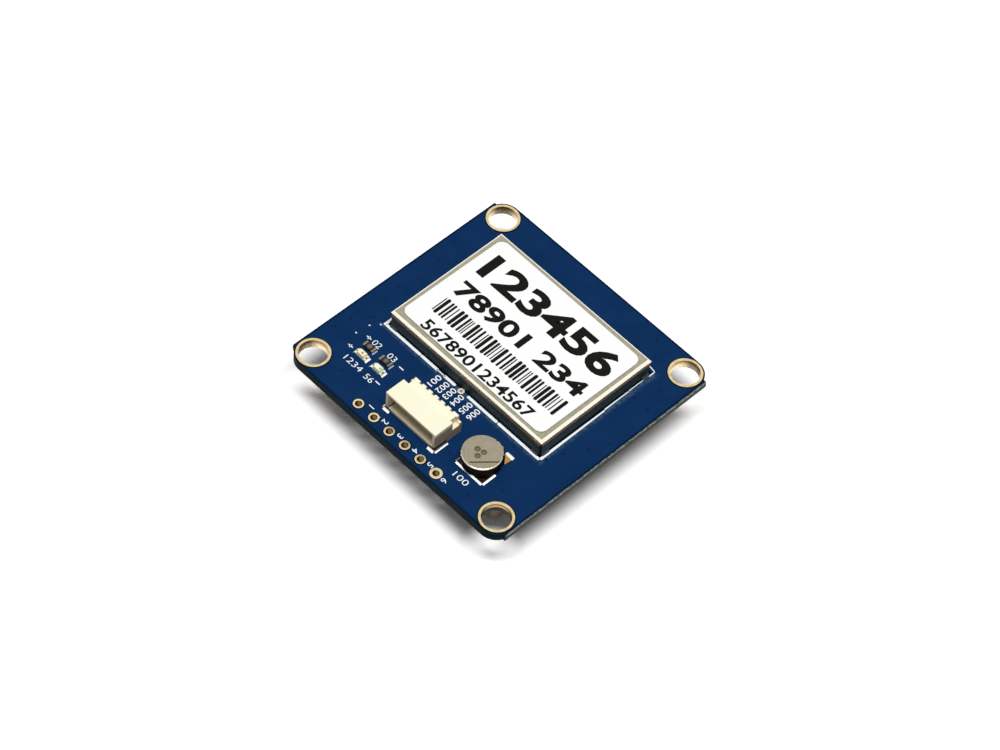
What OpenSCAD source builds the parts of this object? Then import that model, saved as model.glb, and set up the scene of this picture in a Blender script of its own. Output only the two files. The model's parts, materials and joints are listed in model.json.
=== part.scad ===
// Satellite positioning receiver on a square board.
// One face carries a shielded receiver, a side-entry socket, a backup cell and two lamps.
// The other face carries a ceramic patch antenna, which faces down here.
// Millimetres, +Z up, origin under the middle of the board at the lowest point.

/* [Board] */
// Distance between mounting hole centres, the same along both sides
hole_spacing = 30; // [28:0.5:40]
// Finished diameter of the mounting holes
hole_d = 3.5; // [2.5:0.1:4.2]
// Width of the bare plated ring around a mounting hole
hole_ring_w = 0.3; // [0.2:0.05:0.6]
// Board left between a mounting ring and the board's edge
hole_ring_margin = 0.2; // [0.1:0.05:1]
// Thickness of the board
board_t = 1.2; // [0.8:0.1:1.6]
// Thickness of the plated copper on the holes
plating_t = 0.06; // [0.04:0.01:0.1]
// Depth of the score groove left on each face of the two snapped edges
score_depth = 0.35; // [0.1:0.05:0.38]
// How far the score groove cuts back the face at a snapped edge
score_w = 0.13; // [0.05:0.01:0.3]
// How far the two snapped edges stand out beyond the routed outline
snap_out = 0.25; // [0.05:0.05:0.4]
// Length of snapped edge that runs past each mounting hole's centre
snap_run = 0.9; // [0.5:0.1:1.4]

/* [Header holes] */
// Number of wire holes along the front edge
header_count = 6; // [2:1:9]
// Distance between wire hole centres
header_pitch = 2.54; // [2:0.01:2.54]
// Finished diameter of a wire hole
header_hole_d = 0.85; // [0.7:0.05:1]
// Width of the plated ring around a wire hole
header_ring_w = 0.22; // [0.2:0.02:0.35]
// Extra ring width that marks the last wire hole
header_end_ring_extra = 0.1; // [0:0.02:0.15]
// Distance from the front edge to the row of wire holes
header_inset = 1.25; // [1.1:0.05:1.5]

/* [Shield can] */
// Length of the shield can, along X
can_l = 24.6; // [23:0.1:26]
// Width of the shield can, along Y
can_w = 17.6; // [16.4:0.1:19]
// Height of the shield can above the board
can_h = 2.5; // [2.2:0.1:4]
// Thickness of the can's sheet metal
sheet_t = 0.2; // [0.1:0.05:0.3]
// Outside radius of the bend between the can's roof and walls
bend_r = 0.45; // [0.35:0.05:0.8]
// Width of the open slit at each corner of the can
corner_slit = 0.25; // [0.1:0.05:0.4]
// Height of solid metal left above each corner slit
slit_roof = 0.4; // [0.3:0.05:0.8]
// How far the can's middle lies behind the board's middle
can_offset = 3.12; // [2:0.1:3.6]
// Length of a solder joint at the foot of the can, on each side of a corner
can_solder_l = 1.1; // [0.4:0.1:3]
// Height of the solder joints along the foot of the can
can_solder_h = 0.3; // [0.1:0.05:0.6]
// Diameter of the bare ring around the small ground via beside the can
via_ring_d = 0.8; // [0.5:0.05:1]
// Diameter of the ground via's hole
via_hole_d = 0.35; // [0.2:0.05:0.4]

/* [Label] */
// Bare roof left around the label
label_margin = 0.82; // [0.4:0.02:2]
// Thickness of the label
label_t = 0.1; // [0.05:0.01:0.2]
// Radius of the label's corners
label_corner_r = 1; // [0.3:0.1:2]
// Angle by which the label was stuck on askew
label_turn = -0.5; // [-1:0.1:1]

/* [Antenna] */
// Side of the square ceramic block
antenna_l = 25; // [20:0.5:25]
// Thickness of the ceramic block
antenna_t = 4; // [2:0.1:8]
// Radius of the ceramic block's upright edges
antenna_corner_r = 0.6; // [0.2:0.1:1.5]
// Bare ceramic left around the silver patch
patch_margin = 2.1; // [1:0.1:4]
// Length cut off two opposite corners of the silver patch
patch_corner_cut = 2.4; // [1:0.1:4]
// Thickness of the silver films
film_t = 0.06; // [0.05:0.01:0.1]
// Bare ceramic left around the silver ground film
ground_margin = 0.4; // [0.2:0.1:2]
// Thickness of the adhesive pad under the board
adhesive_t = 0.3; // [0.15:0.05:1]
// How much smaller than the ceramic the adhesive pad is, on each side
adhesive_margin = 0.7; // [0.3:0.1:3]
// Diameter of the feed pin
feed_d = 0.9; // [0.6:0.05:1.2]
// Clearance around the feed pin in its holes
feed_clear = 0.1; // [0.05:0.05:0.3]
// Diameter of the feed pin's head
feed_head_d = 2.2; // [1.6:0.1:3]
// Thickness of the feed pin's head
feed_head_t = 0.3; // [0.2:0.05:0.6]
// Distance from the antenna's middle to the feed pin
feed_offset = 2; // [1:0.1:2.6]
// Length of feed pin that stands out of the board
feed_tail = 0.7; // [0.5:0.05:1]
// Radius of the solder cone around the feed pin's tail, at the board
feed_solder_r = 1; // [0.85:0.05:1.3]

/* [Socket] */
// Number of contacts in the socket
socket_pins = 6; // [3:1:7]
// Distance between contacts
socket_pitch = 1; // [0.9:0.05:1.1]
// Distance from the last contact to the end of the housing
socket_end = 1.5; // [1.4:0.05:1.7]
// Depth of the housing's end walls, front to back
socket_wall_depth = 2.7; // [2.5:0.05:3]
// Depth of the rear block that holds the contacts
socket_rear_depth = 1.45; // [1.2:0.05:1.6]
// Height of the rear block that holds the contacts
socket_rear_h = 2.55; // [2.45:0.05:2.75]
// Height of the housing
socket_h = 2.95; // [2.8:0.05:3.4]
// Thickness of the housing's end walls
socket_end_wall = 0.4; // [0.35:0.05:0.6]
// Thickness of the housing's roof
socket_roof_t = 0.3; // [0.25:0.05:0.5]
// Thickness of the housing's floor
socket_floor_t = 0.35; // [0.3:0.05:0.5]
// Distance that the floor's lip is set back from the front of the roof
socket_lip_setback = 0.1; // [0.05:0.05:0.4]
// Height of the raised lip at the back of the shoulder behind each end wall
socket_shoulder_h = 1.75; // [1.5:0.05:2.2]
// Depth of the raised lip at the back of the shoulder
socket_shoulder_lip = 0.3; // [0.2:0.05:0.5]
// Height of the opening under each end wall that shows the hold-down
socket_opening_h = 0.55; // [0.4:0.05:0.7]
// Width of the slots between the comb teeth at the back
socket_slot_w = 0.42; // [0.4:0.02:0.6]
// Depth of the slots between the comb teeth at the back
socket_slot_depth = 0.3; // [0.3:0.05:0.45]
// Distance from the row of wire holes to the front of the socket
socket_gap = 1.9; // [1.6:0.1:2.2]
// Width of a contact
contact_w = 0.3; // [0.2:0.02:0.36]
// Thickness of a contact
contact_t = 0.2; // [0.12:0.02:0.22]
// Height of the contact blades above the board
contact_h = 1.5; // [1.2:0.05:1.8]
// Height of the contact risers that show in the slots of the comb
contact_riser_h = 2.35; // [2.1:0.05:2.4]
// How far the contact tails reach out behind the housing
contact_tail = 0.7; // [0.4:0.05:1]
// Thickness of the metal hold-down feet
hold_down_t = 0.2; // [0.12:0.02:0.3]
// Length of a hold-down foot along the end wall
hold_down_l = 1.9; // [1.2:0.1:2.2]
// Width of a hold-down foot under the housing
hold_down_w = 0.85; // [0.6:0.05:1]
// How far a hold-down foot sticks out of the housing
hold_down_reach = 0.1; // [0.05:0.05:0.3]

/* [Backup cell] */
// Diameter of the backup cell
cell_d = 4.8; // [4.2:0.1:5.2]
// Thickness of the backup cell
cell_t = 1.65; // [1:0.05:2]
// Radius of the rounded edge of the cell's can
cell_edge_r = 0.15; // [0.1:0.05:0.3]
// Distance of the cell's middle to the right of the board's middle
cell_x = 8.47; // [8.2:0.1:9.5]
// Distance of the cell's middle from the front edge
cell_inset = 6.19; // [5.6:0.1:6.4]
// Thickness of the cell's metal tabs
tab_t = 0.12; // [0.08:0.02:0.2]
// Width of the top tab where it is welded to the cell
tab_w = 2.7; // [2.2:0.02:2.8]
// Distance from the cell's middle to the free end of the top tab
tab_free_end = 1.5; // [1.2:0.1:1.7]
// Width of the leg that runs from the top tab down to the board
tab_leg_w = 1.25; // [1:0.05:1.5]
// Direction of the top tab, in degrees from the board's X axis
tab_angle = 49; // [40:1:60]
// How far the top tab's foot reaches back past its leg
tab_foot_reach = 0.3; // [0.2:0.05:0.5]
// Width of the bottom tab's foot
base_tab_w = 4.1; // [3:0.1:4.6]
// Depth of the bottom tab's foot in front of the cell's middle
base_tab_depth = 2.1; // [1.6:0.1:2.4]
// Radius of the three weld spots on the top tab
weld_r = 0.36; // [0.2:0.01:0.38]

/* [Indicator lamps] */
// Length of a lamp
lamp_l = 1.6; // [1.4:0.1:1.8]
// Width of a lamp
lamp_w = 0.8; // [0.6:0.05:1]
// Thickness of a lamp's base
lamp_base_t = 0.28; // [0.2:0.02:0.4]
// Height of the clear lens on a lamp's base
lamp_lens_h = 0.36; // [0.2:0.02:0.6]
// Length of each metal end of a lamp
lamp_end_l = 0.22; // [0.15:0.01:0.3]
// Side of the light-giving die
lamp_die_w = 0.26; // [0.15:0.01:0.35]
// Position of the first lamp, left of the board's middle
lamp_x = 11.05; // [10.8:0.05:11.4]
// Distance between the two lamps
lamp_pitch = 2.72; // [2.6:0.02:3]
// Distance of the lamps from the front edge
lamp_inset = 6.1; // [5.6:0.1:6.4]
// Distance from the lamps to the resistors behind them
resistor_gap = 1.36; // [1.3:0.02:1.8]
// Distance that each resistor sits to the left of its lamp
resistor_shift = 0.2; // [0:0.02:0.4]
// Height of a resistor
resistor_h = 0.4; // [0.3:0.05:0.6]
// Length of each metal end of a resistor
resistor_end_l = 0.24; // [0.16:0.02:0.4]
// Length of the solder at each end of a lamp
end_solder_l = 0.26; // [0.1:0.02:0.3]
// Length of the solder at each end of a resistor
resistor_solder_l = 0.12; // [0.06:0.02:0.3]

/* [Circuits inside the can] */
// Side of the square receiver chip
receiver_w = 5; // [4:0.1:6]
// Side of the square compass chip
compass_w = 3; // [2:0.1:3.6]
// Length of the memory chip's body
memory_l = 4.9; // [4:0.1:5.4]
// Width of the memory chip's body
memory_w = 3.9; // [3:0.1:4.2]
// Height of the memory chip's top above the board
memory_h = 1.5; // [1:0.05:1.7]
// Distance between the memory chip's leads
memory_pitch = 1.27; // [1:0.01:1.27]
// Length of the voltage regulator's body
regulator_l = 2.9; // [2.4:0.1:3.2]
// Width of the voltage regulator's body
regulator_w = 1.6; // [1.2:0.1:1.8]
// Height of the voltage regulator's top above the board
regulator_h = 1.1; // [0.9:0.05:1.5]
// Distance between the voltage regulator's leads
regulator_pitch = 0.95; // [0.8:0.01:0.95]
// Width of a bent lead
lead_w = 0.4; // [0.25:0.01:0.45]
// Length of a capacitor
capacitor_l = 1; // [0.8:0.05:1.2]
// Width and height of a capacitor
capacitor_w = 0.5; // [0.4:0.05:0.6]
// Length of each metal end of a capacitor
capacitor_end_l = 0.25; // [0.15:0.01:0.3]
// Room between the circuits at the can's ends and its walls
can_room = 1; // [0.3:0.1:1]

/* [Hidden] */
$fn = 64;
cut = 1;
sides = [-1, 1];
solder_waist = 0.4;

// Board, holes and levels
hole_ring_d = hole_d + 2 * hole_ring_w;
corner_r = hole_ring_d / 2 + hole_ring_margin;
board_w = hole_spacing + 2 * corner_r;
snapped_w = board_w + 2 * snap_out;
snapped_l = hole_spacing + 2 * snap_run;
front_y = -board_w / 2;
patch_z = feed_head_t;
ceramic_z = patch_z + film_t;
ground_z = ceramic_z + antenna_t;
adhesive_z = ground_z + film_t;
board_z = adhesive_z + adhesive_t;
board_top = board_z + board_t;
header_y = front_y + header_inset;
header_x0 = -(header_count - 1) * header_pitch / 2;
header_ring_d = header_hole_d + 2 * header_ring_w;
track_hole = 1;
track_reach = 0.14;
track_half_w = 0.4;
track_angle = 49;

// Shield can
can_front_y = can_offset - can_w / 2;
via_gap = 0.03;
via_y = can_front_y - via_gap - via_ring_d / 2;
feed_y = -feed_offset;
feed_hole_d = feed_d + 2 * feed_clear;
feed_ground_gap = 0.9;
feed_solder_tip = 0.1;

// Socket
socket_l = (socket_pins - 1) * socket_pitch + 2 * socket_end;
socket_y = header_y + socket_gap;
socket_depth = socket_wall_depth + socket_rear_depth;
socket_mouth_l = socket_l - 2 * socket_end_wall;
socket_neck_inset = 0.62;
socket_rear_l = socket_l - 2 * socket_neck_inset;
socket_flange_inset = 0.48;
socket_flange_l = socket_l - 2 * socket_flange_inset;
socket_flange_t = 0.33;
socket_back_wall = 0.2;
shoulder_floor_h = 1.45;
contact_tip_y = 0.9;
contact_recess = 0.06;
contact_back_y = socket_depth - contact_recess;
contact_foot_t = 0.15;
hold_down_blade_front = 0.5;
hold_down_blade_rear = 0.3;
hold_down_grip = 0.4;
socket_solder_l = 0.25;

// Backup cell
cell_y = front_y + cell_inset;
cell_r = cell_d / 2;
cell_rim = 0.5;
cell_cap_r = cell_r - cell_rim;
cell_gasket_w = 0.2;
cell_cap_t = 0.35;
cell_crimp = 0.15;
cell_crimp_lift = 0.05;
tab_gap = 0.02;
tab_bend_r = cell_edge_r + tab_t;
tab_leg_shift = 0.08;
base_tab_shift = 0.27;
base_tab_rear = -0.15;
base_tongue_w = 2;
base_tongue_end = 1.2;
cell_solder_w = 0.22;
tab_solder_w = 0.42;
tab_leg_s = cell_r + tab_gap;
tab_foot_front = on_tab(tab_leg_s, tab_leg_shift - tab_leg_w / 2);
tab_foot_rear = on_tab(tab_leg_s, tab_leg_shift + tab_leg_w / 2);
tab_foot_spread = 0.2;
tab_foot_y = tab_foot_rear[1] + tab_foot_reach;
tab_foot_l = tab_foot_front[0] + tab_foot_spread - tab_foot_rear[0];
weld_depth = 0.05;
weld_spots = [[-0.6, -0.16], [0.2, 0.05], [0.08, -0.8]];

// Lamps and resistors
lamp_y = front_y + lamp_inset;
resistor_y = lamp_y + resistor_gap;
lamp_notch_r = 0.16;
lamp_lens_taper = 0.08;
lamp_die_h = 0.12;
end_solder_h = 0.22;

// Places of the circuits under the can, from the can's middle
lead_t = 0.15;
lead_lift = 0.1;
lead_shoulder = 0.25;
lead_slope = 0.15;
lead_bend = 0.12;
lead_foot = 0.55;
lead_reach = lead_shoulder + lead_slope + lead_foot;
chip_gap = 0.2;
can_end_x = can_l / 2 - sheet_t - can_room;
compass_at = [compass_w / 2 - can_end_x, 2.6];
memory_at = [can_end_x - lead_reach - memory_w / 2, 4.2];
receiver_at = [memory_at[0] - memory_w / 2 - lead_reach - chip_gap - receiver_w / 2, 1.2];
regulator_at = [can_end_x - lead_reach - regulator_w / 2, -4.8];
oscillator_at = [-3.3, 1.4];
crystal_at = [2.4, 6];
filter_at = [-3.6, -2.4];
amplifier_at = [-3.6, -5];
inductor_at = [4.6, -5.6];
oscillator_size = [2.5, 2, 0.8];
crystal_size = [3.2, 1.5, 0.75];
filter_size = [1.4, 1.1, 0.5];
amplifier_size = [1.5, 1, 0.55];
inductor_size = [1.6, 0.8, 0.8];
can_base_share = 0.6;
lid_inset = 0.2;
receiver_h = 0.85;
compass_h = 0.9;
dimple_r = 0.25;
small_dimple_r = 0.1;
dimple_depth = 0.05;
capacitor_at = [
    [-1.4, 4.6], [-1.4, 5.8], [6.1, 7.2], [-5.8, -4.2], [-5.8, -5.4],
    [1.8, -3.4], [5.6, -3.2], [-5.4, 5.2], [-10, -1.2], [10.4, -1.4]
];

mask_blue = [0.05, 0.17, 0.36];
gold = [0.85, 0.74, 0.48];
tin = [0.82, 0.82, 0.8];
epoxy = [0.1, 0.1, 0.11];
silver = [0.85, 0.85, 0.83];
steel = [0.66, 0.63, 0.56];
tray_tan = [0.55, 0.5, 0.42];

// A rectangle with round corners, centred
module rounded_rectangle(l, w, r) {
    square([l - 2 * r, w], center = true);
    square([l, w - 2 * r], center = true);
    for (x = sides, y = sides) {
        translate([x * (l / 2 - r), y * (w / 2 - r)]) circle(r);
    }
}

// A box centred in X and Y that stands on z = 0
module block(size) {
    translate([-size[0] / 2, -size[1] / 2, 0]) cube(size);
}

// A straight wedge of solder: its upright face lies on x = 0 and it runs out along +X
module solder_wedge(reach, height, length) {
    translate([0, length / 2, 0])
        rotate([90, 0, 0])
            linear_extrude(length) polygon([
                [0, 0], [reach, 0], [reach * solder_waist, height * solder_waist], [0, height]
            ]);
}

// Places its children on the board's upper face
module on_board(x = 0, y = 0) {
    translate([x, y, board_top]) children();
}

// Places its children on the board under the shield can
module under_can(place) {
    on_board(place[0], can_offset + place[1]) children();
}

// Places its children at each mounting hole
module at_mounting_holes() {
    for (x = sides, y = sides) {
        translate([x * hole_spacing / 2, y * hole_spacing / 2, board_z]) children();
    }
}

// An eyelet of plated copper, with a ring on each face of the board
module plated_hole(d, ring_d, lower_ring = true) {
    low = lower_ring ? -plating_t : 0;
    difference() {
        union() {
            cylinder(d = d + 2 * plating_t, h = board_t);
            translate([0, 0, board_t]) cylinder(d = ring_d, h = plating_t);
            if (lower_ring) {
                translate([0, 0, low]) cylinder(d = ring_d, h = plating_t);
            }
        }
        translate([0, 0, low - cut]) cylinder(d = d, h = board_t + 2 * plating_t + 2 * cut);
    }
}

// The hole drilled in the board for a plated hole of finished diameter d
module drilled_hole(d) {
    translate([0, 0, -cut]) cylinder(d = d + 2 * plating_t, h = board_t + 2 * cut);
}

// The cross-section of the board between its two snapped edges
module scored_section() {
    half = snapped_w / 2;
    polygon([
        [half - score_w, 0], [half, score_depth], [half, board_t - score_depth], [half - score_w, board_t],
        [score_w - half, board_t], [-half, board_t - score_depth], [-half, score_depth], [score_w - half, 0]
    ]);
}

module printed_board() {
    color(mask_blue)
        difference() {
            translate([0, 0, board_z])
                intersection() {
                    linear_extrude(board_t) {
                        rounded_rectangle(board_w, board_w, corner_r);
                        square([snapped_w, snapped_l], center = true);
                    }
                    translate([0, board_w / 2 + cut, 0])
                        rotate([90, 0, 0]) linear_extrude(board_w + 2 * cut) scored_section();
                }
            at_mounting_holes() drilled_hole(hole_d);
            for (i = [0 : header_count - 1]) {
                translate([header_x0 + i * header_pitch, header_y, board_z]) drilled_hole(header_hole_d);
            }
            translate([0, via_y, board_z]) drilled_hole(via_hole_d);
            translate([0, feed_y, board_z - cut]) cylinder(d = feed_hole_d, h = board_t + 2 * cut);
        }
}

module mounting_hole_plating() {
    color(gold) at_mounting_holes() plated_hole(hole_d, hole_ring_d);
}

module header_hole_plating() {
    color(gold)
        for (i = [0 : header_count - 1]) {
            extra = i == header_count - 1 ? 2 * header_end_ring_extra : 0;
            translate([header_x0 + i * header_pitch, header_y, board_z]) {
                plated_hole(header_hole_d, header_ring_d + extra);
                if (i == track_hole) {
                    bare_track();
                }
            }
        }
}

// The bare start of a track that leaves the upper ring of a wire hole
module bare_track() {
    ring_r = header_ring_d / 2;
    difference() {
        translate([0, 0, board_t])
            rotate(track_angle)
                linear_extrude(plating_t)
                    polygon([[0, -track_half_w], [ring_r + track_reach, 0], [0, track_half_w]]);
        translate([0, 0, -cut]) cylinder(d = header_hole_d, h = board_t + plating_t + 2 * cut);
    }
}

module ground_via_plating() {
    color(gold) translate([0, via_y, board_z]) plated_hole(via_hole_d, via_ring_d, false);
}

// The end view of a sheet folded down on both sides with a bend of radius r
module folded_section(l, h, r) {
    translate([-l / 2, 0]) square([l, h - r]);
    translate([r - l / 2, 0]) square([l - 2 * r, h]);
    for (x = sides) {
        translate([x * (l / 2 - r), h - r]) circle(r);
    }
}

// A block whose four upper edges are bends that meet in mitred corners
module folded_block(l, w, h, r) {
    intersection() {
        translate([0, w / 2, 0]) rotate([90, 0, 0]) linear_extrude(w) folded_section(l, h, r);
        translate([-l / 2, 0, 0]) rotate([90, 0, 90]) linear_extrude(l) folded_section(w, h, r);
    }
}

module shield_can() {
    color(steel)
        on_board(0, can_offset)
            difference() {
                folded_block(can_l, can_w, can_h, bend_r);
                folded_block(can_l - 2 * sheet_t, can_w - 2 * sheet_t, can_h - sheet_t, bend_r - sheet_t);
                for (x = sides, y = sides) {
                    translate([x * can_l / 2, y * can_w / 2, -cut])
                        block([2 * corner_slit, 2 * corner_slit, can_h - slit_roof + cut]);
                }
            }
}

module shield_label() {
    color("white")
        on_board(0, can_offset)
            translate([0, 0, can_h])
                rotate(label_turn)
                    linear_extrude(label_t)
                        rounded_rectangle(
                            can_l - 2 * label_margin, can_w - 2 * label_margin, label_corner_r
                        );
}

// Solder along the foot of both walls at each corner of the can
module shield_solder() {
    reach = can_solder_h;
    color(tin)
        on_board(0, can_offset)
            for (x = sides, y = sides) {
                translate([x * can_l / 2, y * (can_w / 2 - corner_slit - can_solder_l / 2), 0])
                    rotate(x > 0 ? 0 : 180) solder_wedge(reach, can_solder_h, can_solder_l);
                translate([x * (can_l / 2 - corner_slit - can_solder_l / 2), y * can_w / 2, 0])
                    rotate(y * 90) solder_wedge(reach, can_solder_h, can_solder_l);
            }
}

// A moulded chip with a dimple beside its first lead
module moulded_chip(size, r = dimple_r) {
    difference() {
        block(size);
        translate([2 * r - size[0] / 2, size[1] / 2 - 2 * r, size[2] - dimple_depth])
            cylinder(r = r, h = dimple_depth + cut);
    }
}

module receiver_chip() {
    color(epoxy) under_can(receiver_at) moulded_chip([receiver_w, receiver_w, receiver_h]);
}

module compass_chip() {
    color(epoxy) under_can(compass_at) moulded_chip([compass_w, compass_w, compass_h]);
}

module amplifier_chip() {
    color(epoxy) under_can(amplifier_at) moulded_chip(amplifier_size, small_dimple_r);
}

module antenna_filter() {
    color([0.75, 0.7, 0.6]) under_can(filter_at) moulded_chip(filter_size, small_dimple_r);
}

// Bent leads along one side of a chip: they leave its wall at x = 0 and stand on the board
module lead_row(count, pitch, height) {
    heel = lead_shoulder + lead_slope;
    for (i = [0 : count - 1]) {
        translate([0, (i - (count - 1) / 2) * pitch + lead_w / 2, 0])
            rotate([90, 0, 0])
                linear_extrude(lead_w)
                    polygon([
                        [0, height], [lead_shoulder, height], [heel, 0], [lead_reach, 0],
                        [lead_reach, lead_t], [heel + lead_bend, lead_t],
                        [lead_shoulder + lead_bend, height + lead_t], [0, height + lead_t]
                    ]);
    }
}

module memory_chip() {
    color(epoxy)
        under_can(memory_at)
            translate([0, 0, lead_lift]) moulded_chip([memory_w, memory_l, memory_h - lead_lift]);
}

module memory_leads() {
    color(tin)
        under_can(memory_at)
            for (turn = [0, 180]) {
                rotate(turn) translate([memory_w / 2, 0, 0]) lead_row(4, memory_pitch, memory_h / 2);
            }
}

module regulator_chip() {
    color(epoxy)
        under_can(regulator_at)
            translate([0, 0, lead_lift])
                moulded_chip([regulator_w, regulator_l, regulator_h - lead_lift], small_dimple_r);
}

module regulator_leads() {
    color(tin)
        under_can(regulator_at) {
            translate([regulator_w / 2, 0, 0]) lead_row(3, regulator_pitch, regulator_h / 2);
            rotate(180)
                translate([regulator_w / 2, 0, 0]) lead_row(2, 2 * regulator_pitch, regulator_h / 2);
        }
}

// The ceramic tray of a metal-lidded part
module lidded_base(size) {
    block([size[0], size[1], size[2] * can_base_share]);
}

// The metal lid on the ceramic tray
module lidded_cap(size) {
    translate([0, 0, size[2] * can_base_share])
        block([size[0] - lid_inset, size[1] - lid_inset, size[2] * (1 - can_base_share)]);
}

module oscillator_base() {
    color(tray_tan) under_can(oscillator_at) lidded_base(oscillator_size);
}

module oscillator_lid() {
    color(gold) under_can(oscillator_at) lidded_cap(oscillator_size);
}

module clock_crystal_base() {
    color(tray_tan) under_can(crystal_at) lidded_base(crystal_size);
}

module clock_crystal_lid() {
    color(silver) under_can(crystal_at) lidded_cap(crystal_size);
}

// The middle of a two-ended part that lies along X
module ended_middle(size, end_l) {
    block([size[0] - 2 * end_l, size[1], size[2]]);
}

// The two metal ends of a part that lies along X
module metal_ends(size, end_l) {
    for (x = sides) {
        translate([x * (size[0] - end_l) / 2, 0, 0]) block([end_l, size[1], size[2]]);
    }
}

module bias_inductor() {
    color([0.25, 0.23, 0.22]) under_can(inductor_at) ended_middle(inductor_size, resistor_end_l);
}

module bias_inductor_ends() {
    color(tin) under_can(inductor_at) metal_ends(inductor_size, resistor_end_l);
}

module capacitor_bodies() {
    color([0.6, 0.48, 0.36])
        for (place = capacitor_at) {
            under_can(place) ended_middle([capacitor_l, capacitor_w, capacitor_w], capacitor_end_l);
        }
}

module capacitor_ends() {
    color(tin)
        for (place = capacitor_at) {
            under_can(place) metal_ends([capacitor_l, capacitor_w, capacitor_w], capacitor_end_l);
        }
}

module antenna_ceramic() {
    color([0.8, 0.74, 0.62])
        difference() {
            translate([0, 0, ceramic_z])
                linear_extrude(antenna_t) rounded_rectangle(antenna_l, antenna_l, antenna_corner_r);
            translate([0, feed_y, ceramic_z - cut]) cylinder(d = feed_hole_d, h = antenna_t + 2 * cut);
        }
}

// The silver patch: a square with two opposite corners cut off, which makes it circularly polarised
module antenna_patch() {
    half = antenna_l / 2 - patch_margin;
    short = half - patch_corner_cut;
    color(silver)
        difference() {
            translate([0, 0, patch_z])
                linear_extrude(film_t)
                    polygon([
                        [-half, -short], [-short, -half], [half, -half],
                        [half, short], [short, half], [-half, half]
                    ]);
            translate([0, feed_y, patch_z - cut]) cylinder(d = feed_hole_d, h = film_t + 2 * cut);
        }
}

module antenna_ground() {
    side = antenna_l - 2 * ground_margin;
    color(silver)
        difference() {
            translate([0, 0, ground_z]) block([side, side, film_t]);
            translate([0, feed_y, ground_z - cut])
                cylinder(r = feed_d / 2 + feed_ground_gap, h = film_t + 2 * cut);
        }
}

module antenna_adhesive() {
    side = antenna_l - 2 * adhesive_margin;
    color([0.88, 0.88, 0.84])
        difference() {
            translate([0, 0, adhesive_z]) block([side, side, adhesive_t]);
            translate([0, feed_y, adhesive_z - cut])
                cylinder(r = feed_d / 2 + feed_ground_gap, h = adhesive_t + 2 * cut);
        }
}

// The feed pin: a thin head on the patch and a shank through the ceramic and the board
module antenna_feed_pin() {
    color(tin)
        translate([0, feed_y, 0]) {
            cylinder(d = feed_head_d, h = feed_head_t);
            cylinder(d = feed_d, h = board_top + feed_tail);
        }
}

module feed_pin_solder() {
    color(tin)
        on_board(0, feed_y)
            difference() {
                cylinder(
                    r1 = feed_solder_r, r2 = feed_d / 2 + feed_solder_tip, h = feed_tail - feed_solder_tip
                );
                translate([0, 0, -cut]) cylinder(d = feed_d, h = feed_tail + 2 * cut);
            }
}

// Places its children at the socket's front edge, with +Y towards its back
module at_socket() {
    on_board(0, socket_y) children();
}

// Places its children at each contact of the socket
module at_contacts() {
    for (i = [0 : socket_pins - 1]) {
        translate([(i - (socket_pins - 1) / 2) * socket_pitch, 0, 0]) children();
    }
}

// A contact: a blade in the mouth, a riser in its slot of the comb and a tail on the board
module contact() {
    tail_y = socket_depth + contact_tail;
    riser_y = contact_back_y - contact_t;
    translate([-contact_w / 2, 0, 0])
        rotate([90, 0, 90])
            linear_extrude(contact_w)
                polygon([
                    [contact_tip_y, contact_h], [riser_y, contact_h], [riser_y, 0], [tail_y, 0],
                    [tail_y, contact_foot_t], [contact_back_y, contact_foot_t],
                    [contact_back_y, contact_riser_h], [riser_y, contact_riser_h],
                    [riser_y, contact_h + contact_t], [contact_tip_y, contact_h + contact_t]
                ]);
}

// A hold-down: a foot on the board that shows at the front corner of the housing
module hold_down_foot() {
    inner = socket_l / 2 - hold_down_w;
    outer = socket_l / 2 + hold_down_reach;
    translate([inner, -hold_down_reach, 0])
        cube([outer - inner, hold_down_l + hold_down_reach, hold_down_t]);
}

// The blade of a hold-down, pressed up into the end wall
module hold_down_blade() {
    blade_l = hold_down_l - hold_down_blade_front - hold_down_blade_rear;
    translate([socket_l / 2 - (socket_end_wall + hold_down_t) / 2, hold_down_blade_front, hold_down_t])
        cube([hold_down_t, blade_l, socket_opening_h - hold_down_t + hold_down_grip]);
}

module hold_down() {
    hold_down_foot();
    hold_down_blade();
}

module socket_housing() {
    mouth_h = socket_h - socket_roof_t - socket_floor_t;
    mouth_depth = socket_wall_depth - socket_back_wall;
    color([0.95, 0.93, 0.82])
        at_socket()
            difference() {
                union() {
                    translate([-socket_l / 2, 0, 0]) cube([socket_l, socket_wall_depth, socket_h]);
                    translate([-socket_rear_l / 2, socket_wall_depth, 0])
                        cube([socket_rear_l, socket_rear_depth, socket_rear_h]);
                    translate([-socket_flange_l / 2, socket_depth - socket_flange_t, 0])
                        cube([socket_flange_l, socket_flange_t, socket_rear_h]);
                    for (x = [0, 1]) {
                        mirror([x, 0, 0]) socket_shoulder();
                    }
                }
                translate([-socket_mouth_l / 2, -cut, socket_floor_t])
                    cube([socket_mouth_l, mouth_depth + cut, mouth_h]);
                translate([-socket_mouth_l / 2, -cut, -cut])
                    cube([socket_mouth_l, socket_lip_setback + cut, socket_floor_t + 2 * cut]);
                at_contacts() {
                    translate([-socket_slot_w / 2, socket_depth - socket_slot_depth, -cut])
                        cube([socket_slot_w, socket_slot_depth + cut, socket_h + 2 * cut]);
                    contact();
                }
                for (x = [0, 1]) {
                    mirror([x, 0, 0]) {
                        hold_down();
                        translate([socket_mouth_l / 2, -cut, -cut])
                            cube([socket_end_wall + cut, hold_down_l + cut, socket_opening_h + cut]);
                    }
                }
            }
}

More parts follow.
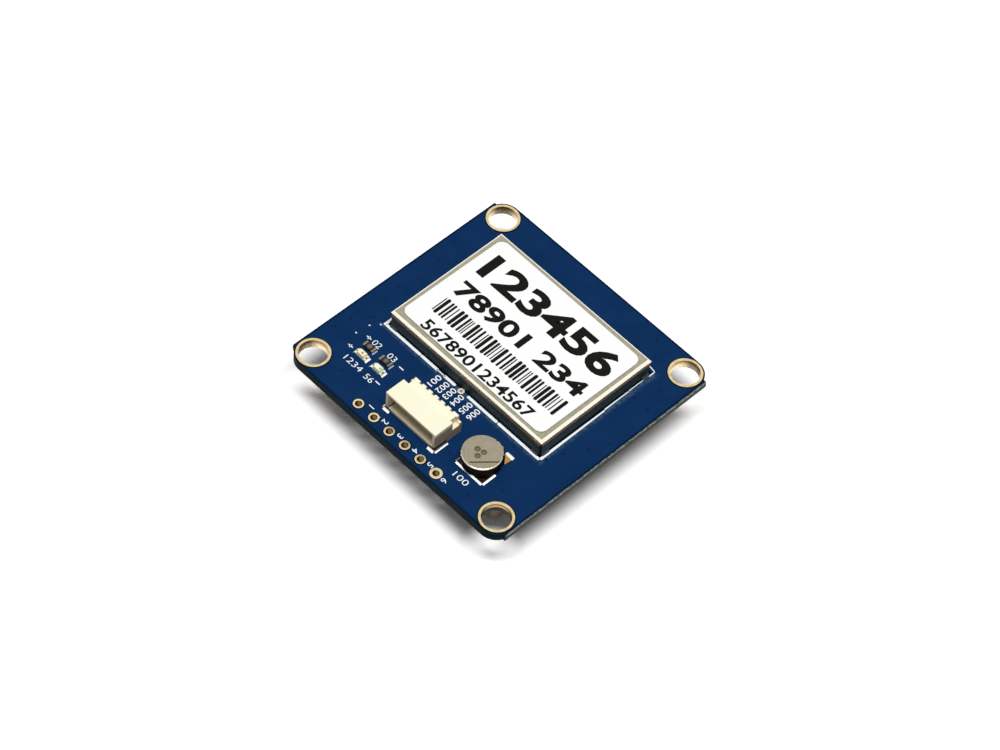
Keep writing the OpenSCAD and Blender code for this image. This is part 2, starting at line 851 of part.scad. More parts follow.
// The low shoulder behind an end wall, with a raised lip along its back
module socket_shoulder() {
    inner = socket_rear_l / 2;
    width = socket_l / 2 - inner;
    translate([inner, socket_wall_depth, 0]) cube([width, socket_rear_depth, shoulder_floor_h]);
    translate([inner, socket_depth - socket_shoulder_lip, 0])
        cube([width, socket_shoulder_lip, socket_shoulder_h]);
}

module socket_contacts() {
    color(gold) at_socket() at_contacts() contact();
}

module socket_hold_downs() {
    color(tin)
        at_socket()
            for (x = [0, 1]) {
                mirror([x, 0, 0]) hold_down();
            }
}

// Solder behind each contact tail and beside each hold-down foot
module socket_solder() {
    foot_l = hold_down_l + hold_down_reach;
    foot_w = hold_down_w + hold_down_reach;
    outer = socket_l / 2 + hold_down_reach;
    color(tin)
        at_socket() {
            at_contacts()
                translate([0, socket_depth + contact_tail, 0])
                    rotate(90) solder_wedge(socket_solder_l, contact_foot_t, contact_w);
            for (x = [0, 1]) {
                mirror([x, 0, 0]) {
                    translate([outer, foot_l / 2 - hold_down_reach, 0])
                        solder_wedge(socket_solder_l, hold_down_t, foot_l);
                    translate([outer - foot_w / 2, -hold_down_reach, 0])
                        rotate(-90) solder_wedge(socket_solder_l, hold_down_t, foot_w);
                }
            }
        }
}

// Places its children at the cell's middle, on the board
module at_cell() {
    on_board(cell_x, cell_y) children();
}

// The cell's pressed can: round at its upper edge and crimped in under its lower edge
module cell_can() {
    gasket_r = cell_cap_r + cell_gasket_w;
    color(steel)
        at_cell()
            translate([0, 0, tab_t])
                rotate_extrude()
                    difference() {
                        union() {
                            square([cell_r - cell_edge_r, cell_t]);
                            square([cell_r, cell_t - cell_edge_r]);
                            translate([cell_r - cell_edge_r, cell_t - cell_edge_r]) circle(cell_edge_r);
                        }
                        translate([-cell_r, -cell_t]) square([cell_r, 2 * cell_t + cut]);
                        square([gasket_r, cell_cap_t]);
                        square([cell_r + cut, cell_crimp_lift]);
                        polygon([
                            [cell_r - cell_crimp, cell_crimp_lift],
                            [cell_r + cut, cell_crimp_lift],
                            [cell_r + cut, cell_crimp_lift + cell_crimp],
                            [cell_r, cell_crimp_lift + cell_crimp]
                        ]);
                    }
}

module cell_gasket() {
    color([0.2, 0.2, 0.2])
        at_cell()
            translate([0, 0, tab_t + cell_crimp_lift])
                difference() {
                    cylinder(r = cell_cap_r + cell_gasket_w, h = cell_cap_t - cell_crimp_lift);
                    translate([0, 0, -cut]) cylinder(r = cell_cap_r, h = cell_cap_t + 2 * cut);
                }
}

module cell_cap() {
    color(steel) at_cell() translate([0, 0, tab_t]) cylinder(r = cell_cap_r, h = cell_cap_t);
}

// The top tab: welded across the cell, then bent down past its edge to a foot on the board
module cell_top_tab() {
    top = tab_t + cell_t;
    bend_s = tab_leg_s + tab_t - tab_bend_r;
    color([0.7, 0.64, 0.5])
        at_cell()
            difference() {
                union() {
                    rotate(tab_angle) {
                        translate([0, 0, top])
                            intersection() {
                                cylinder(r = cell_r - cell_edge_r / 2, h = tab_t);
                                translate([-tab_free_end, -tab_w / 2, 0]) cube([2 * cell_r, tab_w, tab_t]);
                            }
                        translate([0, tab_leg_shift + tab_leg_w / 2, 0])
                            rotate([90, 0, 0])
                                linear_extrude(tab_leg_w) {
                                    translate([0, top]) square([bend_s, tab_t]);
                                    translate([bend_s, top + tab_t - tab_bend_r]) tab_bend();
                                    translate([tab_leg_s, 0]) square([tab_t, top + tab_t - tab_bend_r]);
                                }
                    }
                    linear_extrude(tab_t)
                        polygon([
                            tab_foot_rear,
                            tab_foot_front,
                            on_tab(tab_leg_s + tab_t, tab_leg_shift - tab_leg_w / 2),
                            [tab_foot_rear[0] + tab_foot_l, tab_foot_y],
                            [tab_foot_rear[0], tab_foot_y]
                        ]);
                }
                for (spot = weld_spots) {
                    translate([spot[0], spot[1], top + tab_t - weld_depth])
                        cylinder(r = weld_r, h = weld_depth + cut);
                }
            }
}

// The place, from the cell's middle, of a point s along the top tab and n across it
function on_tab(s, n) = [
    s * cos(tab_angle) - n * sin(tab_angle),
    s * sin(tab_angle) + n * cos(tab_angle)
];

// The quarter-round section of the bend between the top tab and its leg
module tab_bend() {
    intersection() {
        difference() {
            circle(tab_bend_r);
            circle(tab_bend_r - tab_t);
        }
        square(tab_bend_r + cut);
    }
}

// The bottom tab: a wide foot in front and a tongue under the cell
module cell_bottom_tab() {
    color(steel)
        at_cell() {
            translate([base_tab_shift - base_tab_w / 2, -base_tab_depth, 0])
                cube([base_tab_w, base_tab_depth + base_tab_rear, tab_t]);
            translate([-base_tongue_w / 2, base_tab_rear, 0])
                cube([base_tongue_w, base_tongue_end - base_tab_rear, tab_t]);
        }
}

// Solder along three edges of the bottom tab's foot and at the end of the top tab's foot
module cell_solder() {
    foot_depth = base_tab_depth + base_tab_rear;
    color(tin)
        at_cell() {
            for (x = sides) {
                translate([base_tab_shift + x * base_tab_w / 2, base_tab_rear - foot_depth / 2, 0])
                    rotate(x > 0 ? 0 : 180) solder_wedge(cell_solder_w, tab_t, foot_depth);
            }
            translate([base_tab_shift, -base_tab_depth, 0])
                rotate(-90) solder_wedge(cell_solder_w, tab_t, base_tab_w);
            translate([tab_foot_rear[0] + tab_foot_l / 2, tab_foot_y, 0])
                rotate(90) solder_wedge(tab_solder_w, tab_t, tab_foot_l);
        }
}

// Places its children at a lamp: 0 is the power lamp, 1 the signal lamp
module at_lamp(i) {
    on_board(i * lamp_pitch - lamp_x, lamp_y) children();
}

// Places its children at the resistor behind a lamp
module at_resistor(i) {
    on_board(i * lamp_pitch - lamp_x - resistor_shift, resistor_y) children();
}

module lamp_base(tint) {
    color(tint) block([lamp_l - 2 * lamp_end_l, lamp_w, lamp_base_t]);
}

// The plated ends of a lamp's base, each with a half-round notch
module lamp_ends() {
    color(gold)
        for (x = sides) {
            difference() {
                translate([x * (lamp_l - lamp_end_l) / 2, 0, 0]) block([lamp_end_l, lamp_w, lamp_base_t]);
                translate([x * lamp_l / 2, 0, -cut]) cylinder(r = lamp_notch_r, h = lamp_base_t + 2 * cut);
            }
        }
}

module lamp_die(tint) {
    color(tint) translate([0, 0, lamp_base_t]) block([lamp_die_w, lamp_die_w, lamp_die_h]);
}

// A lens with drafted sides, moulded over the die
module lamp_lens(tint) {
    l = lamp_l - 2 * lamp_end_l;
    color(tint)
        translate([0, 0, lamp_base_t])
            difference() {
                intersection() {
                    translate([0, lamp_w / 2, 0]) rotate([90, 0, 0]) linear_extrude(lamp_w) lens_section(l);
                    translate([-l / 2, 0, 0]) rotate([90, 0, 90]) linear_extrude(l) lens_section(lamp_w);
                }
                translate([0, 0, -cut]) block([lamp_die_w, lamp_die_w, lamp_die_h + cut]);
            }
}

// The drafted section of a lens of a given width
module lens_section(w) {
    top = w / 2 - lamp_lens_taper;
    polygon([[-w / 2, 0], [w / 2, 0], [top, lamp_lens_h], [-top, lamp_lens_h]]);
}

module power_lamp_base() {
    at_lamp(0) lamp_base([0.93, 0.92, 0.84]);
}

module power_lamp_ends() {
    at_lamp(0) lamp_ends();
}

module power_lamp_die() {
    at_lamp(0) lamp_die([0.75, 0.5, 0.15]);
}

module power_lamp_lens() {
    at_lamp(0) lamp_lens([0.96, 0.93, 0.8]);
}

module signal_lamp_base() {
    at_lamp(1) lamp_base([0.85, 0.93, 0.8]);
}

module signal_lamp_ends() {
    at_lamp(1) lamp_ends();
}

module signal_lamp_die() {
    at_lamp(1) lamp_die([0.45, 0.75, 0.4]);
}

module signal_lamp_lens() {
    at_lamp(1) lamp_lens([0.92, 0.96, 0.86]);
}

module resistor_body() {
    color(epoxy) ended_middle([lamp_l, lamp_w, resistor_h], resistor_end_l);
}

module resistor_ends() {
    color(tin) metal_ends([lamp_l, lamp_w, resistor_h], resistor_end_l);
}

module power_resistor() {
    at_resistor(0) resistor_body();
}

module power_resistor_ends() {
    at_resistor(0) resistor_ends();
}

module signal_resistor() {
    at_resistor(1) resistor_body();
}

module signal_resistor_ends() {
    at_resistor(1) resistor_ends();
}

// Solder at both ends of each lamp and each resistor
module lamp_row_solder() {
    color(tin)
        for (i = [0, 1], turn = [0, 180]) {
            at_lamp(i)
                rotate(turn) translate([lamp_l / 2, 0, 0]) solder_wedge(end_solder_l, end_solder_h, lamp_w);
            at_resistor(i)
                rotate(turn)
                    translate([lamp_l / 2, 0, 0]) solder_wedge(resistor_solder_l, end_solder_h, lamp_w);
        }
}

printed_board();
mounting_hole_plating();
header_hole_plating();
ground_via_plating();
shield_can();
shield_label();
shield_solder();
receiver_chip();
compass_chip();
amplifier_chip();
antenna_filter();
memory_chip();
memory_leads();
regulator_chip();
regulator_leads();
oscillator_base();
oscillator_lid();
clock_crystal_base();
clock_crystal_lid();
bias_inductor();
bias_inductor_ends();
capacitor_bodies();
capacitor_ends();
antenna_ceramic();
antenna_patch();
antenna_ground();
antenna_adhesive();
antenna_feed_pin();
feed_pin_solder();
socket_housing();
socket_contacts();
socket_hold_downs();
socket_solder();
cell_can();
cell_gasket();
cell_cap();
cell_top_tab();
cell_bottom_tab();
cell_solder();
power_lamp_base();
power_lamp_ends();
power_lamp_die();
power_lamp_lens();
signal_lamp_base();
signal_lamp_ends();
signal_lamp_die();
signal_lamp_lens();
power_resistor();
power_resistor_ends();
signal_resistor();
signal_resistor_ends();
lamp_row_solder();
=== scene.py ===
"""Looks of a square satellite positioning receiver board.

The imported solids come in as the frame. This script gives every solid its finish, prints the board and the
label with plain numbers, sets up a soft studio, and places the camera.
"""

import json
import logging
import math
from collections.abc import Callable
from dataclasses import dataclass, field, replace
from enum import Enum
from functools import cached_property

import bmesh
import bpy
from mathutils import Color, Matrix, Vector

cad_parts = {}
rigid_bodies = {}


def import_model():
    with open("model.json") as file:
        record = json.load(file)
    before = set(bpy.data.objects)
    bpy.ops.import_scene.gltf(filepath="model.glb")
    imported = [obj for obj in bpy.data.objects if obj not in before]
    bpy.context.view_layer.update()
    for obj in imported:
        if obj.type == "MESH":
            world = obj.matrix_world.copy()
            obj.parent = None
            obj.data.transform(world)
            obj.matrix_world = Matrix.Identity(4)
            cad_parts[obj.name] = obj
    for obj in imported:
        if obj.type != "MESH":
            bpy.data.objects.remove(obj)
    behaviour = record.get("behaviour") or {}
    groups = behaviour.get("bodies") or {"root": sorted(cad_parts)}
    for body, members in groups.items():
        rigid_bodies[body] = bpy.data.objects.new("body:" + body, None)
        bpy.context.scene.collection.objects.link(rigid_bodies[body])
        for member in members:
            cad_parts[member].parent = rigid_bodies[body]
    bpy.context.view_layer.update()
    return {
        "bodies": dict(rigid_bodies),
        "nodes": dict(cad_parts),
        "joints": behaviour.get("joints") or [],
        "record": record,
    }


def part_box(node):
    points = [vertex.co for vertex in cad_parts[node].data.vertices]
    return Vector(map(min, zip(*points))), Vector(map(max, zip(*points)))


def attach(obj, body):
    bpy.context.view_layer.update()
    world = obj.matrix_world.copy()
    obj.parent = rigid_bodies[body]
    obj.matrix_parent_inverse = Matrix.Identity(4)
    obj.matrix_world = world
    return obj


LOG = logging.getLogger("receiver_board")

MM = 0.001
BODY = "root"

Colour = tuple[float, float, float]
Stretch = tuple[float, float, float]
Flat = tuple[float, float]
Rhythm = tuple[int, int, int]
Socket = bpy.types.NodeSocket
Thing = bpy.types.Object

EVEN: Stretch = (1.0, 1.0, 1.0)
ROLLED: Stretch = (9.0, 1.0, 1.0)
WHITE = (1.0, 1.0, 1.0, 1.0)
SCREEN_WHITE = 255

# Stretches of a noise over which the tones and the gloss change
TONE_SPAN: Flat = (0.35, 0.65)
GLOSS_SPAN: Flat = (0.3, 0.7)

# Distance between two wire holes in millimetres
WIRE_PITCH = 2.54


class Reading(Enum):
    """Which way a row of printing reads, as a turn about the upright axis."""

    TO_THE_RIGHT = 0.0
    TO_THE_FRONT = -math.pi / 2


class Stroke(Enum):
    """Weight of the printed characters, as a thickening in parts of the character size."""

    FINE = -0.006
    PLAIN = 0.006
    FULL = 0.022
    BOLD = 0.034


class Easing(Enum):
    """How a value goes from one end of a stretch to the other."""

    STRAIGHT = "LINEAR"
    SMOOTH = "SMOOTHSTEP"


def light(colour: Colour) -> tuple[float, ...]:
    """Returns a screen colour as linear light, with full cover."""
    parts = [value / SCREEN_WHITE for value in colour]
    return (*Color(parts).from_srgb_to_scene_linear(), 1.0)


def corner(node: str, high: bool) -> Vector:
    """Returns a node's lowest or highest corner in millimetres."""
    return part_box(node)[1 if high else 0] / MM


def middle_and_half(node: str) -> tuple[Vector, Vector]:
    """Returns the middle of a node's box and half its size, in millimetres."""
    low, high = (corner(node, end) for end in (False, True))
    return (low + high) / 2, (high - low) / 2


class Nodes:
    """The nodes of a material or of the world."""

    def __init__(self, tree: bpy.types.NodeTree) -> None:
        """Takes a tree and empties it."""
        self.tree = tree
        self.tree.nodes.clear()

    def add(self, kind: str) -> bpy.types.Node:
        """Adds a shader node of one kind."""
        return self.tree.nodes.new(f"ShaderNode{kind}")

    def join(self, source: Socket, target: Socket) -> None:
        """Links two sockets."""
        self.tree.links.new(source, target)

    def feed(self, target: Socket, value: object) -> None:
        """Links a socket to a socket, or sets a plain value on it.

        Args:
            target: the socket that takes the value.
            value: another node's socket, or a plain value.
        """
        if isinstance(value, Socket):
            self.join(value, target)
        else:
            target.default_value = value

    def maths(self, operation: str, first: object, second: object = 0.0) -> Socket:
        """Adds one sum.

        Args:
            operation: Blender's name for the sum.
            first: a socket or a number.
            second: a socket or a number.

        Returns:
            The result's socket.
        """
        node = self.add("Math")
        node.operation = operation
        self.feed(node.inputs[0], first)
        self.feed(node.inputs[1], second)
        return node.outputs["Value"]

    def ramp(self, value: Socket, source: Flat, result: Flat, easing: Easing) -> Socket:
        """Maps one stretch of a value onto another, held at both ends.

        Args:
            value: the socket to map.
            source: the two ends of the stretch that is mapped.
            result: what the two ends become.
            easing: how the result goes between them.

        Returns:
            The mapped socket.
        """
        node = self.add("MapRange")
        node.interpolation_type = easing.value
        self.join(value, node.inputs["Value"])
        for name, end in zip(("From Min", "From Max", "To Min", "To Max"), source + result):
            node.inputs[name].default_value = end
        return node.outputs["Result"]


class Shader(Nodes):
    """A material's nodes around one Principled shader, on Object coordinates in millimetres."""

    # Finer layers in its noise
    LAYERS = 3.0

    def __init__(self, name: str, grain: float, streak: Stretch) -> None:
        """Starts the material.

        Args:
            name: the material's name.
            grain: size of its mottle in millimetres.
            streak: how much longer the mottle is along each axis.
        """
        self.material = bpy.data.materials.new(name)
        self.material.use_nodes = True
        super().__init__(self.material.node_tree)
        self.surface = self.add("BsdfPrincipled")
        output = self.add("OutputMaterial")
        self.join(self.surface.outputs["BSDF"], output.inputs["Surface"])
        scale = self.add("Mapping")
        scale.inputs["Scale"].default_value = (1 / MM, 1 / MM, 1 / MM)
        self.join(self.add("TexCoord").outputs["Object"], scale.inputs["Vector"])
        self.place = scale.outputs["Vector"]
        self.mottle = self.noise(grain, streak)

    @cached_property
    def axes(self) -> tuple[Socket, ...]:
        """Splits the place on the object.

        Returns:
            The X, Y and Z sockets, in millimetres.
        """
        split = self.add("SeparateXYZ")
        self.join(self.place, split.inputs["Vector"])
        return split.outputs["X"], split.outputs["Y"], split.outputs["Z"]

    @property
    def height(self) -> Socket:
        """Returns the height on the object, in millimetres."""
        return self.axes[2]

    def noise(self, grain: float, streak: Stretch = EVEN) -> Socket:
        """Adds soft noise.

        Args:
            grain: size of the grain in millimetres.
            streak: how much longer the grain is along each axis.

        Returns:
            A socket from 0 to 1.
        """
        stretch = self.add("Mapping")
        stretch.inputs["Scale"].default_value = tuple(1 / part for part in streak)
        self.join(self.place, stretch.inputs["Vector"])
        texture = self.add("TexNoise")
        texture.inputs["Scale"].default_value = 1 / grain
        texture.inputs["Detail"].default_value = self.LAYERS
        self.join(stretch.outputs["Vector"], texture.inputs["Vector"])
        return texture.outputs["Fac"]

    def span(self, value: Socket, start: float, end: float, low: float = 0.0, high: float = 1.0) -> Socket:
        """Returns a value that goes smoothly from low at start to high at end."""
        return self.ramp(value, (start, end), (low, high), Easing.SMOOTH)

    def fade(self, value: Socket, start: float, end: float) -> Socket:
        """Returns a value that falls smoothly from 1 at start to 0 at end."""
        return self.span(value, start, end, 1.0, 0.0)

    def mix(self, factor: Socket, first: Socket | Colour, second: Socket | Colour) -> Socket:
        """Mixes two colours.

        Args:
            factor: socket that gives the second colour's share.
            first: a socket or a screen colour.
            second: a socket or a screen colour.

        Returns:
            The mixed colour's socket.
        """
        node = self.add("Mix")
        node.data_type = "RGBA"
        self.join(factor, node.inputs["Factor"])
        colours = [socket for socket in node.inputs if socket.type == "RGBA"]
        for target, value in zip(colours, (first, second)):
            self.feed(target, value if isinstance(value, Socket) else light(value))
        return next(socket for socket in node.outputs if socket.type == "RGBA")

    def length(self, aside: Socket, ahead: Socket) -> Socket:
        """Returns the length of a level step along X and Y."""
        squares = [self.maths("MULTIPLY", part, part) for part in (aside, ahead)]
        return self.maths("SQRT", self.maths("ADD", *squares))

    def apart(self, middle: Flat) -> Socket:
        """Returns the level distance from an upright line, in millimetres."""
        steps = [self.maths("SUBTRACT", axis, place) for axis, place in zip(self.axes, middle)]
        return self.length(*steps)

    def relief(self, height: Socket, depth: float) -> None:
        """Turns a height into fine relief on the shader.

        Args:
            height: socket from 0 to 1.
            depth: height of the relief in millimetres.
        """
        bump = self.add("Bump")
        bump.inputs["Strength"].default_value = 1.0
        bump.inputs["Distance"].default_value = depth * MM
        self.join(height, bump.inputs["Height"])
        self.join(bump.outputs["Normal"], self.surface.inputs["Normal"])


@dataclass(frozen=True)
class Finish:
    """One finish: two tones that mix, uneven gloss and a fine relief. Lengths are in millimetres."""

    name: str
    slot: str
    tone: Colour
    second: Colour
    grain: float = 0.5
    streak: Stretch = EVEN
    metal: float = 0.0
    smooth: float = 0.35
    rough: float = 0.5
    relief: float = 0.002
    relief_grain: float = 0.06
    sheen_level: float = 0.5

    def like(self, name: str, tone: Colour, second: Colour, **changes: object) -> "Finish":
        """Returns this finish under another name, in other tones and with some changes."""
        return replace(self, name=name, tone=tone, second=second, **changes)

    def colour(self, shader: Shader) -> Socket:
        """Returns the two tones, mixed by the mottle."""
        return shader.mix(shader.span(shader.mottle, *TONE_SPAN), self.tone, self.second)

    def roughness(self, shader: Shader) -> Socket:
        """Returns the roughness, made uneven by the mottle."""
        return shader.span(shader.mottle, *GLOSS_SPAN, self.smooth, self.rough)

    def build(self) -> bpy.types.Material:
        """Makes the finish.

        Returns:
            The finished material.
        """
        shader = Shader(self.name, self.grain, self.streak)
        surface = shader.surface.inputs
        shader.join(self.colour(shader), surface["Base Color"])
        shader.join(self.roughness(shader), surface["Roughness"])
        surface["Metallic"].default_value = self.metal
        surface["Specular IOR Level"].default_value = self.sheen_level
        shader.relief(shader.noise(self.relief_grain, self.streak), self.relief)
        return shader.material


@dataclass(frozen=True)
class MaskFinish(Finish):
    """Solder mask over glass cloth, with dark routed edges, pale snapped edges and a painted reflection of
    the can's wall on the mask beside the can.
    """

    groove: float = 0.13
    skin: float = 0.03
    routed: Colour = (16, 36, 44)
    cloth: Colour = (92, 104, 98)
    yarn: Colour = (186, 196, 186)
    yarn_grain: float = 0.16
    yarn_streak: Stretch = (1.0, 2.4, 0.8)
    yarn_span: Flat = (0.42, 0.62)
    core: float = 0.3
    core_tone: Colour = (96, 98, 94)
    # Painted reflection: pale light thrown by the can's wall onto the mask beside its foot
    glare: Colour = (84, 106, 122)
    glare_reach: float = 1.15
    glare_hold: float = 0.45
    glare_grain: float = 0.5
    glare_span: Flat = (0.36, 0.66)
    glare_cover: Flat = (0.12, 0.62)
    dark: Colour = (3, 11, 20)
    dark_width: float = 0.16
    dark_fade: float = 1 / 3
    rim_width: float = 0.36
    rim_share: float = 0.7
    hole_place: float = 15.0
    hole_ring: float = 2.05
    wire_row: float = -16.0
    wire_end: float = 7.6
    wire_ring: float = 0.645

    def edge(self, shader: Shader, rise: Socket) -> Socket:
        """Colours the routed edges and the two snapped edges.

        Args:
            shader: the material being made.
            rise: height above or below the board's middle.

        Returns:
            The colour's socket.
        """
        fibre = shader.noise(self.yarn_grain, self.yarn_streak)
        torn = shader.mix(shader.span(fibre, *self.yarn_span), self.cloth, self.yarn)
        outer = shader.span(rise, self.core, self.core + self.skin)
        grooved = shader.mix(outer, self.core_tone, torn)
        start = corner("printed_board", True).x - self.groove - self.skin
        snapped = shader.span(shader.maths("ABSOLUTE", shader.axes[0]), start, start + self.skin / 2)
        return shader.mix(snapped, self.routed, grooved)

    def beside_can(self, shader: Shader) -> Socket:
        """Gives the level distance outwards from the foot of the can.

        Args:
            shader: the material being made.

        Returns:
            The distance's socket, in millimetres.
        """
        across, along, _ = shader.axes
        middle, half = middle_and_half("shield_can")
        right = shader.maths("ABSOLUTE", shader.maths("SUBTRACT", across, middle.x))
        behind = shader.maths("ABSOLUTE", shader.maths("SUBTRACT", along, middle.y))
        aside = shader.maths("SUBTRACT", right, half.x)
        ahead = shader.maths("SUBTRACT", behind, half.y)
        return shader.maths("MAXIMUM", aside, ahead)

    def wall_glare(self, shader: Shader) -> Socket:
        """Gives the share of painted light, reflected from the can's wall onto the mask, along the front
        and right foot of the can.

        Args:
            shader: the material being made.

        Returns:
            A socket from 0 to 1.
        """
        across, along, _ = shader.axes
        middle, half = middle_and_half("shield_can")
        right = shader.maths("SUBTRACT", across, middle.x)
        behind = shader.maths("SUBTRACT", along, middle.y)
        clear = self.beside_can(shader)
        band = shader.fade(clear, self.glare_reach * self.glare_hold, self.glare_reach)
        outside = shader.maths("GREATER_THAN", clear, 0.0)
        diagonal = shader.maths("MULTIPLY", behind, half.x / half.y)
        near_side = shader.maths("GREATER_THAN", right, diagonal)
        patchy = shader.span(shader.noise(self.glare_grain), *self.glare_span, *self.glare_cover)
        share = shader.maths("MULTIPLY", band, outside)
        return shader.maths("MULTIPLY", shader.maths("MULTIPLY", share, near_side), patchy)

    def clearance_and_shadow(self, shader: Shader) -> Socket:
        """Gives the dark strips along the rim and round the plated holes, and the painted contact shadow at
        the can's foot.

        Args:
            shader: the material being made.

        Returns:
            A socket from 0 to 1.
        """
        across, along, _ = shader.axes
        board = corner("printed_board", True)
        aside = shader.maths("ABSOLUTE", across)
        ahead = shader.maths("ABSOLUTE", along)
        side_rim = shader.maths("SUBTRACT", board.x - self.groove, aside)
        rim = shader.maths("MINIMUM", side_rim, shader.maths("SUBTRACT", board.y, ahead))
        hole = shader.length(*(shader.maths("SUBTRACT", part, self.hole_place) for part in (aside, ahead)))
        folded = shader.maths("SUBTRACT", shader.maths("MODULO", aside, WIRE_PITCH), WIRE_PITCH / 2)
        wire = shader.length(folded, shader.maths("SUBTRACT", along, self.wire_row))
        row = shader.maths("LESS_THAN", aside, self.wire_end)
        foot = self.beside_can(shader)
        outside = shader.maths("GREATER_THAN", foot, -self.dark_width)
        soft = self.dark_width * self.dark_fade
        inner = self.dark_width - soft
        # Painted contact shadow on the mask along the can's foot
        by_foot = shader.fade(foot, self.dark_width, self.dark_width + soft)
        by_hole = shader.fade(shader.maths("SUBTRACT", hole, self.hole_ring), inner, self.dark_width)
        by_wire = shader.fade(shader.maths("SUBTRACT", wire, self.wire_ring), inner, self.dark_width)
        widest = shader.span(rim, inner, self.rim_width, self.rim_share, 0.0)
        in_row = shader.maths("MULTIPLY", row, by_wire)
        for share in (shader.maths("MULTIPLY", outside, by_foot), by_hole, in_row):
            widest = shader.maths("MAXIMUM", widest, share)
        return widest

    def colour(self, shader: Shader) -> Socket:
        """Paints the faces as mask and the edges as cut or snapped cloth.

        Args:
            shader: the material being made.

        Returns:
            The colour's socket.
        """
        middle, half = middle_and_half("printed_board")
        above = shader.maths("SUBTRACT", shader.height, middle.z)
        upper = shader.maths("GREATER_THAN", above, 0.0)
        # Paints the can's reflected light onto the upper face
        share = shader.maths("MULTIPLY", self.wall_glare(shader), upper)
        glared = shader.mix(share, super().colour(shader), self.glare)
        mask = shader.mix(self.clearance_and_shadow(shader), glared, self.dark)
        rise = shader.maths("ABSOLUTE", above)
        face = shader.span(rise, half.z - self.skin, half.z - self.skin / 2)
        return shader.mix(face, self.edge(shader, rise), mask)


@dataclass(frozen=True)
class LayeredFinish(Finish):
    """Finish that changes its tone downwards, such as a bright roof over walls painted dark."""

    level: float = 0.0
    blend: float = 0.1
    below: Colour = (128, 128, 128)
    foot_level: float = 0.0
    foot: Colour = (128, 128, 128)

    def colour(self, shader: Shader) -> Socket:
        """Mixes the upper tones, the tone below the level and the tone at the foot.

        Args:
            shader: the material being made.

        Returns:
            The colour's socket.
        """
        height = shader.height
        depth = shader.span(height, self.foot_level, self.level)
        lower = shader.mix(depth, self.foot, self.below)
        above = shader.span(height, self.level, self.level + self.blend)
        return shader.mix(above, lower, super().colour(shader))


@dataclass(frozen=True)
class HoleFinish(LayeredFinish):
    """Plated holes, whose walls are painted darker below the rim as shade and pale at the foot as the
    floor's reflection, with painted shade on the lower wall of the hole that stands over the deepest shade.
    """

    shaded: Flat = (15.0, -15.0)
    reach: float = 2.2
    shade: Colour = (50, 46, 40)
    shade_level: float = 5.36

    def colour(self, shader: Shader) -> Socket:
        """Paints shade on the lower wall of the shaded hole.

        Args:
            shader: the material being made.

        Returns:
            The colour's socket.
        """
        near = shader.fade(shader.apart(self.shaded), self.reach, self.reach + self.blend)
        lower = shader.fade(shader.height, self.shade_level - self.blend, self.shade_level + self.blend)
        share = shader.maths("MULTIPLY", near, lower)
        return shader.mix(share, super().colour(shader), self.shade)


@dataclass(frozen=True)
class HousingFinish(LayeredFinish):
    """Moulded housing with painted shade on its outer sides."""

    side: Colour = (168, 152, 132)
    side_place: float = 3.97
    side_blend: float = 0.04

    def colour(self, shader: Shader) -> Socket:
        """Paints shade on the two outer sides below the roof.

        Args:
            shader: the material being made.

        Returns:
            The colour's socket.
        """
        across, _, height = shader.axes
        aside = shader.maths("ABSOLUTE", across)
        outer = shader.span(aside, self.side_place - self.side_blend, self.side_place)
        lower = shader.fade(height, self.level, self.level + self.blend)
        share = shader.maths("MULTIPLY", outer, lower)
        return shader.mix(share, super().colour(shader), self.side)


@dataclass(frozen=True)
class SheetFinish(LayeredFinish):
    """Folded sheet: a roof painted dimmer than its bright bends, in place of the dim light it reflects, and
    walls painted dark in place of their shade and reflections.
    """

    roof: Colour = (163, 158, 136)
    roof_second: Colour = (175, 169, 147)
    roof_level: float = 8.41
    roof_blend: float = 0.02
    wall_rough: float = 0.6

    def roughness(self, shader: Shader) -> Socket:
        """Returns the roughness, with matt walls below the bends."""
        matt = shader.span(shader.height, self.level, self.level + self.blend, self.wall_rough, 0.0)
        return shader.maths("MAXIMUM", super().roughness(shader), matt)

    def colour(self, shader: Shader) -> Socket:
        """Puts the roof's painted dim tone over the bends and the painted dark walls.

        Args:
            shader: the material being made.

        Returns:
            The colour's socket.
        """
        dim_roof = shader.mix(shader.span(shader.mottle, *TONE_SPAN), self.roof, self.roof_second)
        flat = shader.span(shader.height, self.roof_level - self.roof_blend, self.roof_level)
        return shader.mix(flat, super().colour(shader), dim_roof)


@dataclass(frozen=True)
class StripFinish(LayeredFinish):
    """Welded strip with darker spots where it was welded. The spans are in radii of a spot."""

    welds: tuple[Flat, ...] = ()
    weld_radius: float = 0.36
    weld_tone: Colour = (108, 97, 76)
    weld_heart: Colour = (130, 116, 96)
    heart_span: Flat = (0.2, 0.6)
    weld_span: Flat = (0.85, 1.1)

    def colour(self, shader: Shader) -> Socket:
        """Darkens the strip round each weld.

        Args:
            shader: the material being made.

        Returns:
            The colour's socket.
        """
        tone = super().colour(shader)
        for weld in self.welds:
            apart = shader.maths("DIVIDE", shader.apart(weld), self.weld_radius)
            heart = shader.span(apart, *self.heart_span)
            spot = shader.mix(heart, self.weld_heart, self.weld_tone)
            tone = shader.mix(shader.span(apart, *self.weld_span), spot, tone)
        return tone


